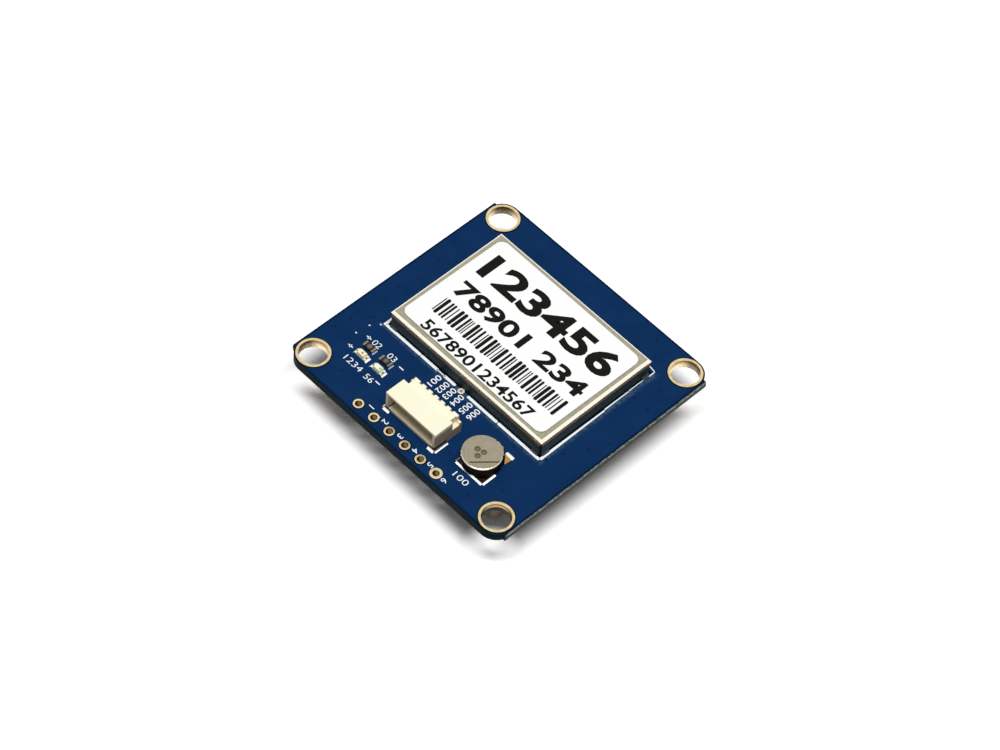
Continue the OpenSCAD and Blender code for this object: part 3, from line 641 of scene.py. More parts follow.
@dataclass(frozen=True)
class SpotFinish(Finish):
    """Finish with one soft spot, a step from a solid's middle, such as a die under a milky lens; on the
    resistors the spot is a painted reflection.
    """

    solid: str = ""
    step: Flat = (0.0, 0.0)
    spot: Colour = (200, 140, 40)
    core_radius: float = 0.08
    radius: float = 0.32

    def colour(self, shader: Shader) -> Socket:
        """Blends the spot's tone into the finish.

        Args:
            shader: the material being made.

        Returns:
            The colour's socket.
        """
        middle, _ = middle_and_half(self.solid)
        place = (middle.x + self.step[0], middle.y + self.step[1])
        near = shader.fade(shader.apart(place), self.core_radius, self.radius)
        return shader.mix(near, super().colour(shader), self.spot)


SOLDER = Finish("joint_solder", "solder", (252, 252, 248), (238, 240, 236), grain=0.3, metal=1.0,
                smooth=0.25, rough=0.4, relief=0.002, relief_grain=0.2)
TIN = Finish("tinned_lead", "lead_tin", (206, 203, 190), (190, 186, 172), grain=0.15, metal=1.0,
             smooth=0.3, rough=0.42, relief=0.001, relief_grain=0.08)

# One finish for each slot of the record
FINISHES: tuple[Finish, ...] = (
    MaskFinish("board_mask", "solder_mask", (14, 46, 87), (16, 49, 92), grain=3.0, smooth=0.4, rough=0.5,
               relief=0.0008, relief_grain=0.5, sheen_level=0.012),
    # Painted shade in the barrels, and a foot painted pale as the white floor's reflection
    HoleFinish("hole_gold", "gold_plating", (232, 212, 164), (212, 188, 136), grain=0.5, metal=1.0,
               smooth=0.22, rough=0.32, relief=0.0008, relief_grain=0.08, level=5.9, blend=0.04,
               below=(136, 98, 42), foot_level=5.0, foot=(255, 238, 196)),
    # Painted light on the can: bright bends, a brown fade below them, and walls painted dark as the board's
    # reflection
    SheetFinish("can_sheet", "shield_metal", (255, 250, 236), (250, 244, 226), grain=0.6, metal=1.0,
                smooth=0.2, rough=0.26, relief=0.0001, relief_grain=0.3, level=7.95, blend=0.16,
                below=(180, 150, 100), foot_level=7.35, foot=(50, 68, 76)),
    Finish("label_film", "label_paper", (254, 254, 254), (253, 253, 252), grain=0.8,
           smooth=0.5, rough=0.6, relief=0.0004, relief_grain=0.1, sheen_level=0.1),
    SOLDER,
    Finish("chip_moulding", "chip_epoxy", (24, 24, 26), (32, 32, 34), grain=0.1,
           smooth=0.5, rough=0.62, relief=0.003, relief_grain=0.04),
    Finish("filter_body", "filter_ceramic", (204, 192, 166), (190, 176, 150), grain=0.2,
           smooth=0.45, rough=0.6),
    TIN,
    Finish("plated_lid", "lid_metal", (232, 218, 180), (222, 206, 166), grain=0.3, streak=ROLLED,
           metal=1.0, smooth=0.2, rough=0.34),
    Finish("ferrite", "inductor_ferrite", (58, 54, 52), (72, 68, 64), grain=0.08, smooth=0.55, rough=0.7),
    Finish("capacitor_body", "capacitor_ceramic", (168, 134, 100), (154, 120, 88), grain=0.15,
           smooth=0.35, rough=0.5),
    Finish("antenna_block", "antenna_ceramic", (216, 200, 168), (204, 186, 152), grain=0.5,
           smooth=0.5, rough=0.68, relief=0.004, relief_grain=0.12),
    Finish("fired_silver", "silver_film", (236, 234, 228), (229, 226, 219), grain=0.9, metal=1.0,
           smooth=0.4, rough=0.48, relief=0.002, relief_grain=0.1),
    Finish("foam_tape", "adhesive_pad", (230, 229, 220), (216, 214, 204), grain=0.25,
           smooth=0.75, rough=0.9, relief=0.01, relief_grain=0.12),
    # Painted shade: the socket's walls darken below the roof and towards the board
    HousingFinish("socket_moulding", "socket_plastic", (252, 250, 224), (251, 248, 219), grain=1.2,
                  smooth=0.5, rough=0.6, relief=0.0008, relief_grain=0.1, sheen_level=0.1, level=8.38,
                  blend=0.05, below=(250, 240, 210), foot_level=5.92, foot=(230, 216, 186)),
    Finish("contact_strip", "contact_metal", (176, 150, 100), (160, 134, 88), grain=0.2, metal=1.0,
           smooth=0.3, rough=0.4),
    # Painted light on the cell: a roof painted dimmer than its bright rounded rim, and a side painted dark
    # as shade
    SheetFinish("cell_shell", "cell_steel", (226, 219, 196), (218, 210, 186), grain=0.4, metal=1.0,
                smooth=0.16, rough=0.22, relief=0.0004, relief_grain=0.1, level=7.55, blend=0.04,
                below=(44, 36, 30), foot_level=6.4, foot=(26, 18, 14),
                roof=(166, 156, 136), roof_second=(158, 148, 128), roof_level=7.686, roof_blend=0.01),
    Finish("cell_seal", "cell_gasket", (34, 34, 34), (44, 44, 44), grain=0.1, smooth=0.6, rough=0.75),
    # The strip's edge below its top is painted dark as the shadow line under it
    StripFinish("cell_strip", "tab_metal", (168, 159, 138), (162, 152, 130), grain=0.4, metal=1.0,
                smooth=0.16, rough=0.22, relief=0.0004, relief_grain=0.1, level=7.775, blend=0.03,
                below=(52, 42, 30), foot_level=6.9, foot=(184, 142, 82),
                welds=((7.87, -11.22), (8.67, -11.01), (8.55, -11.86))),
    Finish("lamp_floor", "lamp_board", (240, 236, 216), (230, 226, 204), grain=0.15,
           smooth=0.45, rough=0.6),
    Finish("amber_chip", "amber_die", (204, 140, 40), (186, 120, 30), grain=0.06, smooth=0.3, rough=0.4),
    Finish("green_chip", "green_die", (96, 186, 96), (80, 166, 84), grain=0.06, smooth=0.3, rough=0.4),
)

LAMP_LENS = SpotFinish("power_lens", "power_lens", (252, 244, 214), (246, 234, 196), grain=0.3, smooth=0.3,
                       rough=0.4, sheen_level=0.2, solid="power_lamp_lens", step=(0.08, 0.0),
                       spot=(158, 108, 40), core_radius=0.07, radius=0.19)
# The pale spot on the resistors' glass is a painted reflection
RESISTOR_GLASS = SpotFinish("power_resistor_glass", "resistor_coat", (26, 22, 21), (34, 29, 27),
                            grain=0.12, smooth=0.4, rough=0.5, sheen_level=0.2, solid="power_resistor",
                            step=(0.0, 0.04), spot=(118, 104, 98), core_radius=0.16, radius=0.42)
# Resistor ends painted darker than tin, as shade
RESISTOR_TIN = TIN.like("power_resistor_tin", (150, 142, 118), (116, 110, 92), grain=0.2)
LAMP_PLATE = Finish("power_lamp_plate", "gold_plating", (255, 248, 220), (240, 228, 184), grain=0.2,
                    metal=1.0, smooth=0.3, rough=0.4, relief=0.001, relief_grain=0.1)
# The cell's base strip is painted dark as shade
DARK_STRIP = Finish("cell_base_strip", "tab_metal", (66, 44, 36), (48, 32, 28), grain=0.3, metal=1.0,
                    smooth=0.35, rough=0.5, relief=0.001, relief_grain=0.1)

# Finishes of single solids that differ from the finish of their slot
SINGLE: dict[str, Finish] = {
    "power_lamp_lens": LAMP_LENS,
    "signal_lamp_lens": LAMP_LENS.like(
        "signal_lens", (250, 252, 228), (244, 246, 214), slot="signal_lens", solid="signal_lamp_lens",
        step=(0.3, 0.0), spot=(128, 186, 112), core_radius=0.06, radius=0.26,
    ),
    # Both resistors carry a painted reflection as a pale spot on their glass
    "power_resistor": RESISTOR_GLASS,
    "signal_resistor": replace(
        RESISTOR_GLASS, name="signal_resistor_glass", solid="signal_resistor", spot=(110, 102, 94),
    ),
    # Painted shade: the wire holes' walls darken downwards to near black
    "header_hole_plating": LayeredFinish(
        "wire_hole_gold", "gold_plating", (236, 218, 176), (218, 198, 152), grain=0.5, metal=1.0,
        smooth=0.22, rough=0.32, relief=0.0008, relief_grain=0.08, level=5.9, blend=0.04,
        below=(134, 108, 70), foot_level=4.5, foot=(10, 2, 0),
    ),
    # Solder at the can's corners painted dark as shade
    "shield_solder": SOLDER.like("foot_solder", (74, 78, 78), (58, 64, 66), smooth=0.4, rough=0.55),
    "ground_via_plating": LAMP_PLATE.like(
        "via_tin", (255, 250, 232), (244, 234, 204), grain=0.3, metal=0.3, relief=0.0005,
    ),
    "power_resistor_ends": RESISTOR_TIN,
    "signal_resistor_ends": replace(RESISTOR_TIN, name="signal_resistor_tin"),
    "power_lamp_ends": LAMP_PLATE,
    "signal_lamp_ends": LAMP_PLATE.like("signal_lamp_plate", (255, 252, 230), (242, 236, 200)),
    "cell_bottom_tab": DARK_STRIP,
    # The socket's hold-downs are painted dark as shade
    "socket_hold_downs": DARK_STRIP.like(
        "hold_down_metal", (84, 82, 76), (70, 68, 62), slot="lead_tin", grain=0.2,
    ),
}

BEAD_SOLDER = SOLDER.like("bead_solder", (255, 254, 248), (240, 240, 232))
SILK_INK = Finish("silk_ink", "label_paper", (252, 254, 254), (242, 248, 251), grain=0.12,
                  smooth=0.6, rough=0.7, relief=0.001, relief_grain=0.08, sheen_level=0.1)
LABEL_INK = Finish("label_ink", "chip_epoxy", (17, 16, 14), (22, 21, 18), grain=0.25,
                   smooth=0.5, rough=0.6, relief=0.0004, relief_grain=0.1, sheen_level=0.05)
COVERED_MASK = Finish("covered_mask", "solder_mask", (10, 34, 72), (9, 30, 66), grain=0.15,
                      smooth=0.32, rough=0.42, relief=0.0005, relief_grain=0.1, sheen_level=0.06)


class Bench:
    """Modelling moves with Blender's operators. Shapes are made in millimetres and finished in metres.

    The values below are shares of a shape's own width, radius or height, and numbers of steps. FACES_UP is
    the least upward part of a top face's normal.
    """

    LINE_ROUND = 0.45
    LINE_STEPS = 3
    TEXT_STEPS = 4
    DIMPLE_SIDES = 20
    DIMPLE_INSETS = (0.35, 0.25)
    DIMPLE_SINK = 0.7
    MOUND_ROUND = 0.3
    MOUND_CROWN = 0.8
    MOUND_STEPS = 4
    NEAR_TOP = 0.9
    FACES_UP = 0.9

    @staticmethod
    def clear() -> None:
        """Leaves nothing selected."""
        bpy.ops.object.select_all(action="DESELECT")

    @staticmethod
    def enter(mode: str) -> None:
        """Goes into edit mode or back to object mode."""
        bpy.ops.object.mode_set(mode=mode)

    @staticmethod
    def pick(wanted: Callable[[bmesh.types.BMEdge], bool]) -> None:
        """Selects the edges of the mesh in edit mode that pass a test.

        Args:
            wanted: says whether an edge is selected.
        """
        bpy.ops.mesh.select_mode(type="EDGE")
        bpy.ops.mesh.select_all(action="DESELECT")
        mesh = bpy.context.object.data
        shape = bmesh.from_edit_mesh(mesh)
        for edge in shape.edges:
            edge.select_set(wanted(edge))
        bmesh.update_edit_mesh(mesh)

    @classmethod
    def round_uprights(cls, height: float, radius: float, steps: int) -> None:
        """Rounds the upright edges of a shape of this height, in edit mode."""
        cls.pick(lambda edge: abs(edge.verts[0].co.z - edge.verts[1].co.z) > height / 2)
        bpy.ops.mesh.bevel(offset=radius, segments=steps, affect="EDGES")

    @classmethod
    def settle(cls, thing: Thing) -> Thing:
        """Puts an object's place, turn and size into its mesh.

        Args:
            thing: the object.

        Returns:
            The same object.
        """
        cls.clear()
        thing.select_set(True)
        bpy.context.view_layer.objects.active = thing
        bpy.ops.object.transform_apply(location=True, rotation=True, scale=True)
        return thing

    @classmethod
    def strip(
        cls, start: Flat, end: Flat, width: float, level: float, thickness: float, taper: float = 1.0
    ) -> Thing:
        """Models a printed line with rounded ends.

        Args:
            start: first end of the line.
            end: second end of the line.
            width: width at the first end.
            level: height of the face that carries it.
            thickness: thickness of the ink.
            taper: width at the second end as a share of the width.

        Returns:
            The line's object.
        """
        run = Vector((end[0] - start[0], end[1] - start[1]))
        middle = ((start[0] + end[0]) / 2, (start[1] + end[1]) / 2, level + thickness / 2)
        cls.clear()
        turn = (0, 0, math.atan2(run.y, run.x))
        bpy.ops.mesh.primitive_cube_add(size=1, location=middle, rotation=turn)
        line = bpy.context.object
        line.scale = (run.length + width, width, thickness)
        cls.enter("EDIT")
        shape = bmesh.from_edit_mesh(line.data)
        for vertex in shape.verts:
            if vertex.co.x > 0:
                vertex.co.y *= taper
        bmesh.update_edit_mesh(line.data)
        cls.enter("OBJECT")
        cls.settle(line)
        cls.enter("EDIT")
        cls.round_uprights(thickness, width * min(1.0, taper) * cls.LINE_ROUND, cls.LINE_STEPS)
        cls.enter("OBJECT")
        return line

    @classmethod
    def lettering(
        cls, words: str, middle: Flat, size: Flat, level: float, thickness: float,
        reading: Reading, stroke: Stroke,
    ) -> Thing:
        """Models a row of printed characters.

        Args:
            words: the characters.
            middle: centre of the row.
            size: length of the row, or 0 for the characters' own, and height of its characters.
            level: height of the face that carries it.
            thickness: thickness of the ink.
            reading: the way in which the row reads.
            stroke: weight of the characters.

        Returns:
            The row's object.
        """
        cls.clear()
        bpy.ops.object.text_add()
        row = bpy.context.object
        row.data.body = words
        row.data.align_x = "CENTER"
        row.data.align_y = "CENTER"
        row.data.offset = stroke.value
        row.data.resolution_u = cls.TEXT_STEPS
        # Extruded by a half both ways, so the row is 1 thick before it is scaled
        row.data.extrude = 1 / 2
        bpy.ops.object.convert(target="MESH")
        row = bpy.context.object
        low, high = (Vector(map(extreme, zip(*row.bound_box))) for extreme in (min, max))
        row.data.transform(Matrix.Translation(-(low + high) / 2))
        tall = size[1] / (high.y - low.y)
        long = size[0] / (high.x - low.x) if size[0] else tall
        row.scale = (long, tall, thickness)
        row.rotation_euler = (0, 0, reading.value)
        row.location = (middle[0], middle[1], level + thickness / 2)
        return cls.settle(row)

    @classmethod
    def dimple(cls, middle: Flat, radius: float, level: float, height: float) -> Thing:
        """Models a shallow round bead with a sunk middle.

        Args:
            middle: centre of the bead.
            radius: outer radius.
            level: height of the face that carries it.
            height: height of the bead.

        Returns:
            The bead's object.
        """
        cls.clear()
        bpy.ops.mesh.primitive_cylinder_add(
            vertices=cls.DIMPLE_SIDES, radius=radius, depth=height, location=(*middle, level + height / 2)
        )
        bead = cls.settle(bpy.context.object)
        cls.enter("EDIT")
        bpy.ops.mesh.select_mode(type="FACE")
        bpy.ops.mesh.select_all(action="DESELECT")
        shape = bmesh.from_edit_mesh(bead.data)
        for face in shape.faces:
            face.select_set(face.normal.z > cls.FACES_UP)
        bmesh.update_edit_mesh(bead.data)
        for share in cls.DIMPLE_INSETS:
            bpy.ops.mesh.inset(thickness=radius * share)
        bpy.ops.transform.translate(value=(0, 0, -height * cls.DIMPLE_SINK))
        cls.enter("OBJECT")
        return bead

    @classmethod
    def mound(cls, middle: Flat, size: Flat, level: float, height: float) -> Thing:
        """Models a flowed bead of solder with a rounded crown.

        Args:
            middle: centre of the bead.
            size: length along X and width along Y.
            level: height of the face that carries it.
            height: height of its crown.

        Returns:
            The bead's object.
        """
        cls.clear()
        bpy.ops.mesh.primitive_cube_add(size=1, location=(*middle, level + height / 2))
        bead = bpy.context.object
        bead.scale = (*size, height)
        cls.settle(bead)
        cls.enter("EDIT")
        cls.round_uprights(height, size[1] * cls.MOUND_ROUND, cls.MOUND_STEPS)
        cls.pick(lambda edge: min(end.co.z for end in edge.verts) > level + height * cls.NEAR_TOP)
        bpy.ops.mesh.bevel(offset=height * cls.MOUND_CROWN, segments=cls.MOUND_STEPS, affect="EDGES")
        cls.enter("OBJECT")
        bpy.ops.object.shade_smooth()
        return bead

    @staticmethod
    def copy(thing: Thing, step: Vector) -> Thing:
        """Copies a shape with a mesh of its own and moves the copy.

        Args:
            thing: the shape.
            step: how far the copy goes.

        Returns:
            The copy.
        """
        twin = thing.copy()
        twin.data = thing.data.copy()
        bpy.context.collection.objects.link(twin)
        twin.data.transform(Matrix.Translation(step))
        return twin

    @classmethod
    def join(cls, name: str, shapes: list[Thing]) -> Thing:
        """Joins shapes into one piece in metres.

        Args:
            name: the piece's name.
            shapes: what it is made of.

        Returns:
            The piece, at the origin with its place in its mesh.
        """
        cls.clear()
        for shape in shapes:
            shape.select_set(True)
        piece = shapes[0]
        bpy.context.view_layer.objects.active = piece
        if len(shapes) > 1:
            bpy.ops.object.join()
        piece.scale = (MM, MM, MM)
        cls.settle(piece)
        piece.name = name
        piece.data.name = name
        return piece


def hand_over(piece: Thing, material: bpy.types.Material) -> None:
    """Gives a new piece its material and body.

    Args:
        piece: the finished piece.
        material: the finish's material.
    """
    piece.data.materials.clear()
    piece.data.materials.append(material)
    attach(piece, BODY)
    LOG.info("piece %s: %d faces", piece.name, len(piece.data.polygons))


@dataclass
class Solids:
    """The carried-over solids, each dressed in the finish of its slot."""

    frame: dict
    materials: dict[str, bpy.types.Material] = field(default_factory=dict)
    singles: dict[str, bpy.types.Material] = field(default_factory=dict)

    def build(self) -> None:
        """Makes one material for each slot, and one for each solid with a finish of its own."""
        self.materials = {finish.slot: finish.build() for finish in FINISHES}
        self.singles = {node: finish.build() for node, finish in SINGLE.items()}

    def dress(self) -> None:
        """Puts its own material, or its slot's, on each solid."""
        for row in self.frame["record"]["subparts"]:
            node = row["node"]
            solid = self.frame["nodes"][node]
            solid.data.materials.clear()
            solid.data.materials.append(self.singles.get(node) or self.materials[row["material_slot"]])
            LOG.info("solid %s: %s", node, row["material_slot"])


@dataclass
class BoardPrint:
    """White printing on the board: the can's outline, hole numbers, row numbers and polarity marks."""

    ink: float = 0.02
    front_line: float = 0.36
    front_gap: float = 0.36
    front_runs: tuple[Flat, ...] = (
        (-12.35, -6.88), (-6.52, -4.0), (-2.72, -1.16), (1.16, 5.66), (6.1, 12.45),
    )
    thin_run: Flat = (-4.0, -2.72)
    thin_line: float = 0.13
    side_gap: float = 0.34
    side_width: float = 0.34
    side_runs: tuple[Flat, ...] = ((-5.95, 4.3), (4.36, 8.2), (8.26, 11.0))
    side_narrowing: float = 0.8
    hook: tuple[Flat, ...] = ((11.7, 12.57), (12.61, 12.43), (12.59, 11.53))
    hook_line: float = 0.13
    rear_line: float = 0.2
    rear_gap: float = 0.6
    number_x: float = 1.3
    number_y: tuple[float, ...] = (-15.19, -15.45, -15.54, -15.6, -15.7, -16.01)
    number_height: float = 0.8
    row_x: tuple[float, ...] = (-3.05, -1.76, -0.62, 0.62, 2.04, 3.27)
    row_y: float = -7.33
    row_size: Flat = (1.75, 0.8)
    mark_height: float = 0.8
    marks: tuple[tuple[str, Flat, float], ...] = (
        ("1234", (-10.9, -12.6), 2.7),
        ("56", (-8.2, -12.72), 1.25),
        ("02", (-11.1, -8.75), 1.2),
        ("03", (-8.6, -8.75), 1.2),
        ("100", (8.7, -14.4), 2.1),
    )
    plus_places: tuple[Flat, ...] = ((-12.94, -11.16), (-12.4, -8.79))
    minus_places: tuple[Flat, ...] = ((-6.79, -9.01), (-7.08, -12.4))
    long_arm: float = 0.3
    short_arm: float = 0.17
    fine_line: float = 0.14
    specks: tuple[Flat, ...] = ((-13.72, -7.55), (-13.95, -9.42), (-12.95, -6.5))
    speck: float = 0.16

    def __post_init__(self) -> None:
        """Takes the level and the neighbours' places from the frame."""
        self.level = corner("printed_board", True).z
        self.can_low = corner("shield_can", False)
        self.can_high = corner("shield_can", True)

    def strip(self, start: Flat, end: Flat, width: float, taper: float = 1.0) -> Thing:
        """Returns one printed line on the board."""
        return Bench.strip(start, end, width, self.level, self.ink, taper)

    def words(self, text: str, middle: Flat, size: Flat, reading: Reading, stroke: Stroke) -> Thing:
        """Returns one printed row of characters on the board."""
        return Bench.lettering(text, middle, size, self.level, self.ink, reading, stroke)

    def side_lines(self) -> list[Thing]:
        """Models the line on the right of the can, which thins out towards the rear.

        Returns:
            One shape for each run of the line.
        """
        side = self.can_high.x + self.side_gap
        first = self.side_runs[0][0]
        length = self.side_runs[-1][1] - first
        lines = []
        for near, far in self.side_runs:
            shares = [1 - self.side_narrowing * (place - first) / length for place in (near, far)]
            start, end = (self.side_width * share for share in shares)
            inner = side - (self.side_width - start) / 2
            ends = ((inner, near + start / 2), (inner, far - start / 2))
            lines.append(self.strip(*ends, start, end / start))
        return lines

    def can_outline(self) -> Thing:
        """Models the broken outline printed round the can's foot.

        Returns:
            The outline as one piece.
        """
        front = self.can_low.y - self.front_gap
        left = self.can_low.x - self.side_gap
        rear = self.can_high.y + self.front_gap
        rear_end = self.hook[0][0] - self.rear_gap
        lines = [self.strip((a, front), (b, front), self.front_line) for a, b in self.front_runs]
        lines.append(self.strip((self.thin_run[0], front), (self.thin_run[1], front), self.thin_line))
        lines += self.side_lines()
        lines += [self.strip(a, b, self.hook_line) for a, b in zip(self.hook, self.hook[1:])]
        lines.append(self.strip((left, front), (left, rear), self.front_line))
        lines.append(self.strip((left, rear), (rear_end, rear), self.rear_line))
        return Bench.join("can_outline_print", lines)

    def numbers(self) -> Thing:
        """Models the numbers beside the wire holes and behind the socket.

        Returns:
            The numbers as one piece.
        """
        style = (Reading.TO_THE_FRONT, Stroke.PLAIN)
        first = self.number_x - WIRE_PITCH * (len(self.number_y) - 1) / 2
        rows = []
        for i, (number_y, row_x) in enumerate(zip(self.number_y, self.row_x)):
            place = (first + i * WIRE_PITCH, number_y)
            rows.append(self.words(str(i + 1), place, (0.0, self.number_height), *style))
            rows.append(self.words(f"{i + 1:03d}", (row_x, self.row_y), self.row_size, *style))
        return Bench.join("board_numbers_print", rows)

    def lamp_marks(self) -> Thing:
        """Models the numbers, polarity marks and ink specks round the lamps and the cell.

        Returns:
            The marks as one piece.
        """
        style = (Reading.TO_THE_RIGHT, Stroke.FINE)
        shapes = []
        for text, place, length in self.marks:
            shapes.append(self.words(text, place, (length, self.mark_height), *style))
        for x, y in self.plus_places + self.minus_places:
            shapes.append(self.strip((x - self.long_arm, y), (x + self.long_arm, y), self.fine_line))
        for x, y in self.plus_places:
            shapes.append(self.strip((x, y - self.short_arm), (x, y + self.short_arm), self.fine_line))
        for x, y in self.specks:
            shapes.append(self.strip((x, y), (x + self.speck / 2, y), self.speck))
        return Bench.join("lamp_marks_print", shapes)

    def build(self) -> list[Thing]:
        """Returns every printed piece of the board."""
        return [self.can_outline(), self.numbers(), self.lamp_marks()]


@dataclass
class CoveredVias:
    """The small vias under the solder mask, which show as dark dimples."""

    radius: float = 0.21
    height: float = 0.01
    places: tuple[Flat, ...] = (
        (-15.86, -8.48), (-14.26, -6.38), (-16.14, -10.55), (-11.01, -14.2), (-15.44, 4.91), (-16.28, 8.3),
        (-14.93, 1.37), (-15.71, -1.22), (-13.94, 6.43), (12.85, -12.11), (10.79, -15.27), (13.87, -3.44),
        (13.12, -5.5), (10.95, 14.04), (14.79, 11.21), (15.82, 7.96), (16.4, 4.93), (16.23, 1.49),
        (15.2, -0.88), (13.56, 8.05), (8.72, 13.59), (9.5, 15.89), (9.43, -6.9), (5.34, -12.9),
    )

    def build(self) -> Thing:
        """Models one dimple and copies it to every place.

        Returns:
            All the dimples as one piece.
        """
        level = corner("printed_board", True).z
        first = Bench.dimple(self.places[0], self.radius, level, self.height)
        beads = [first]
        start = Vector((*self.places[0], 0.0))
        for place in self.places[1:]:
            beads.append(Bench.copy(first, Vector((*place, 0.0)) - start))
        return Bench.join("covered_vias", beads)


@dataclass
class TabBead:
    """The bead of solder that holds the foot of the cell's upper strip."""

    middle: Flat = (10.1, -8.2)
    size: Flat = (1.24, 0.5)
    height: float = 0.15

    def build(self) -> Thing:
        """Returns the bead."""
        level = corner("printed_board", True).z
        return Bench.join("tab_solder_bead", [Bench.mound(self.middle, self.size, level, self.height)])


@dataclass
class LabelPrint:
    """Black printing on the label: plain counting numbers and a row of bars."""

    ink: float = 0.012
    bar_low: float = -1.95
    bar_high: float = 0.3
    bar_start: float = -9.4
    bar_end: float = 10.1
    bar_module: float = 0.15
    bar_rhythm: Rhythm = (5, 3, 3)
    gap_rhythm: Rhythm = (3, 4, 2)
    rows: tuple[tuple[str, Flat, Flat, Stroke], ...] = (
        ("123456", (0.3, 7.4), (20.6, 4.0), Stroke.BOLD),
        ("78901 234", (0.35, 2.65), (20.3, 2.5), Stroke.BOLD),
        ("5678901234567", (0.15, -3.9), (17.5, 1.65), Stroke.FULL),
    )

    def __post_init__(self) -> None:
        """Takes the label's level from the frame."""
        self.level = corner("shield_label", True).z

    def words(self, text: str, middle: Flat, size: Flat, stroke: Stroke) -> Thing:
        """Returns one row of numbers on the label."""
        return Bench.lettering(text, middle, size, self.level, self.ink, Reading.TO_THE_RIGHT, stroke)

    def beat(self, step: int, rhythm: Rhythm) -> float:
        """Returns the width of one bar or gap, from the remainder of its count."""
        stride, group, most = rhythm
        return self.bar_module * (1 + (step * stride + step // group) % most)

    def bars(self) -> list[Thing]:
        """Models the upright bars.

        Returns:
            One shape for each bar.
        """
        shapes = []
        place = self.bar_start
        while place < self.bar_end:
            step = len(shapes)
            width = self.beat(step, self.bar_rhythm)
            middle = place + width / 2
            ends = ((middle, self.bar_low), (middle, self.bar_high))
            shapes.append(Bench.strip(*ends, width, self.level, self.ink))
            place += width + self.beat(step, self.gap_rhythm)
        return shapes

    def build(self) -> Thing:
        """Returns all the label's printing as one piece."""
        shapes = [self.words(*row) for row in self.rows]
        return Bench.join("label_print", shapes + self.bars())


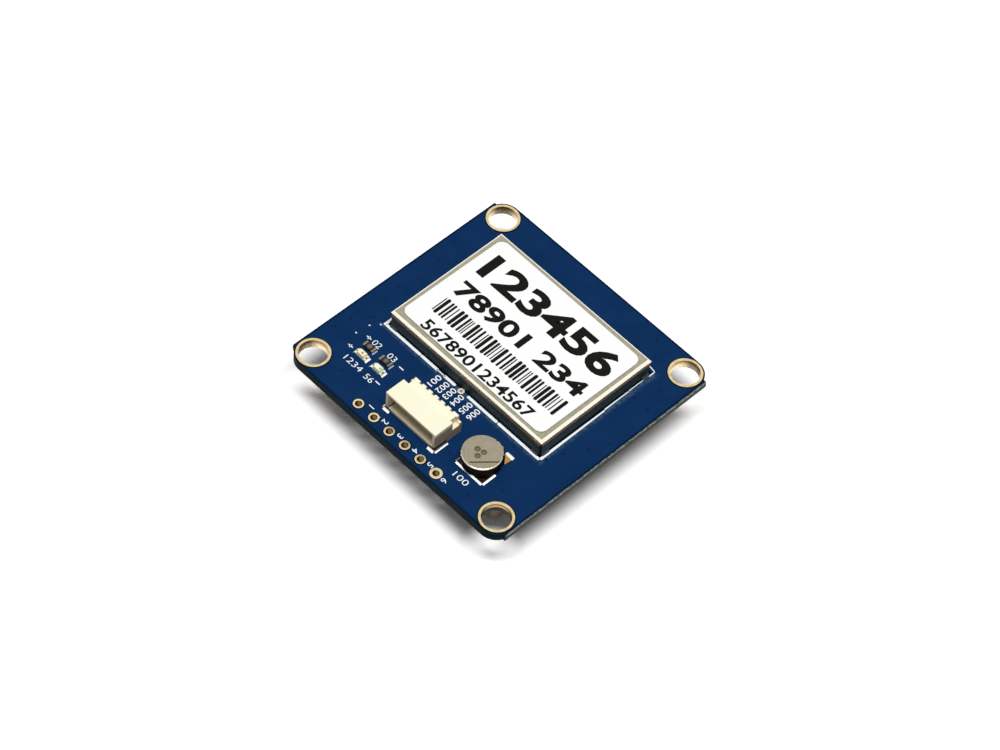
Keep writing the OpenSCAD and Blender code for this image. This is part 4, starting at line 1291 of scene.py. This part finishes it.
@dataclass
class Studio:
    """A white floor, one long overhead soft box and a dim sky that metal sees as a white tent."""

    floor_size: float = 4.0
    floor_tone: float = 0.4
    floor_seen: float = 1.25
    box_distance: float = 0.9
    box_size: Flat = (0.61, 0.24)
    box_tilt: Flat = (2.5, 8.5)
    box_radiance: float = 15.0
    sky_low: float = 0.03
    sky_high: float = 0.3
    tent: float = 1.0

    @staticmethod
    def seen(nodes: Nodes) -> Socket:
        """Adds the test for a ray of the eye, of a mirror or of glass.

        Args:
            nodes: the nodes that take the test.

        Returns:
            A socket that is 1 for such a ray.
        """
        path = nodes.add("LightPath").outputs
        mirrored = nodes.maths("MAXIMUM", path["Is Camera Ray"], path["Is Glossy Ray"])
        return nodes.maths("MAXIMUM", mirrored, path["Is Transmission Ray"])

    def floor(self) -> None:
        """Lays the floor, which looks white to the eye and in metal and still takes the shadow."""
        Bench.clear()
        bpy.ops.mesh.primitive_plane_add(size=self.floor_size)
        ground = bpy.context.object
        ground.name = "studio_floor"
        material = bpy.data.materials.new("floor_white")
        material.use_nodes = True
        nodes = Nodes(material.node_tree)
        paint = nodes.add("BsdfDiffuse")
        output = nodes.add("OutputMaterial")
        tones = (self.floor_tone, self.floor_seen)
        tone = nodes.ramp(self.seen(nodes), (0.0, 1.0), tones, Easing.STRAIGHT)
        nodes.join(tone, paint.inputs["Color"])
        nodes.join(paint.outputs["BSDF"], output.inputs["Surface"])
        ground.data.materials.append(material)

    def sky(self) -> None:
        """Sets a dim sky that brightens upwards and is white to the eye, in metal and through glass."""
        world = bpy.data.worlds.new("studio_sky")
        bpy.context.scene.world = world
        world.use_nodes = True
        nodes = Nodes(world.node_tree)
        split = nodes.add("SeparateXYZ")
        nodes.join(nodes.add("TexCoord").outputs["Generated"], split.inputs["Vector"])
        tones = (self.sky_low, self.sky_high)
        rise = nodes.ramp(split.outputs["Z"], (0.0, 1.0), tones, Easing.STRAIGHT)
        choose = nodes.add("MixShader")
        nodes.join(self.seen(nodes), choose.inputs["Fac"])
        for place, strength in ((1, rise), (2, self.tent)):
            glow = nodes.add("Background")
            glow.inputs["Color"].default_value = WHITE
            nodes.feed(glow.inputs["Strength"], strength)
            nodes.join(glow.outputs["Background"], choose.inputs[place])
        nodes.join(choose.outputs["Shader"], nodes.add("OutputWorld").inputs["Surface"])

    def soft_box(self) -> None:
        """Hangs the soft box, long across the picture and tilted to the right and to the camera."""
        nearer = Viewpoint().azimuth_direction()
        right = Vector((-nearer.y, nearer.x, 0.0))
        aside, ahead = (math.tan(math.radians(angle)) for angle in self.box_tilt)
        towards = (right * aside + nearer * ahead + Vector((0, 0, 1))).normalized()
        length = (right - towards * right.dot(towards)).normalized()
        data = bpy.data.lights.new("soft_box", "AREA")
        data.shape = "RECTANGLE"
        data.size = self.box_size[0]
        data.size_y = self.box_size[1]
        data.energy = self.box_radiance * math.pi * self.box_size[0] * self.box_size[1]
        box = bpy.data.objects.new("soft_box", data)
        bpy.context.collection.objects.link(box)
        turn = Matrix((length, towards.cross(length), towards)).transposed().to_4x4()
        box.matrix_world = Matrix.Translation(towards * self.box_distance) @ turn

    def build(self) -> None:
        """Sets up the floor, the sky and the soft box."""
        self.floor()
        self.sky()
        self.soft_box()


@dataclass(frozen=True)
class Viewpoint:
    """The camera: angles in degrees, lengths in millimetres, focal length in image widths."""

    azimuth: float = 40.841
    elevation: float = 53.273
    roll: float = 6.446
    distance: float = 382.34
    nearest: float = 10.0
    target: Flat = (1.248, -1.185)
    focal_widths: float = 3.36991
    sensor_width: float = 36.0

    def azimuth_direction(self) -> Vector:
        """Returns the level direction from the board to the camera."""
        turn = math.radians(self.azimuth)
        return Vector((math.sin(turn), -math.cos(turn), 0.0))

    def build(self) -> None:
        """Places the camera and makes it the scene's own."""
        rise = math.radians(self.elevation)
        roll = math.radians(self.roll)
        level = self.azimuth_direction()
        back = level * math.cos(rise) + Vector((0, 0, math.sin(rise)))
        right = Vector((-level.y, level.x, 0.0))
        above = back.cross(right)
        across = right * math.cos(roll) + above * math.sin(roll)
        upward = above * math.cos(roll) - right * math.sin(roll)
        aim = Vector((*self.target, corner("printed_board", True).z))
        eye = (aim + back * self.distance) * MM
        data = bpy.data.cameras.new("photo_camera")
        data.sensor_width = self.sensor_width
        data.lens = self.focal_widths * self.sensor_width
        data.clip_start = self.nearest * MM
        camera = bpy.data.objects.new("photo_camera", data)
        bpy.context.collection.objects.link(camera)
        turn = Matrix((across, upward, back)).transposed().to_4x4()
        camera.matrix_world = Matrix.Translation(eye) @ turn
        bpy.context.scene.camera = camera


def main() -> None:
    """Loads the frame, dresses the solids, adds the printing and sets up the studio."""
    logging.basicConfig(level=logging.INFO, format="%(name)s: %(message)s")
    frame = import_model()
    bpy.context.scene.view_settings.view_transform = "Standard"
    Viewpoint().build()
    Studio().build()
    solids = Solids(frame)
    solids.build()
    solids.dress()
    ink = SILK_INK.build()
    for piece in BoardPrint().build():
        hand_over(piece, ink)
    hand_over(CoveredVias().build(), COVERED_MASK.build())
    hand_over(LabelPrint().build(), LABEL_INK.build())
    hand_over(TabBead().build(), BEAD_SOLDER.build())


if __name__ == "__main__":
    main()
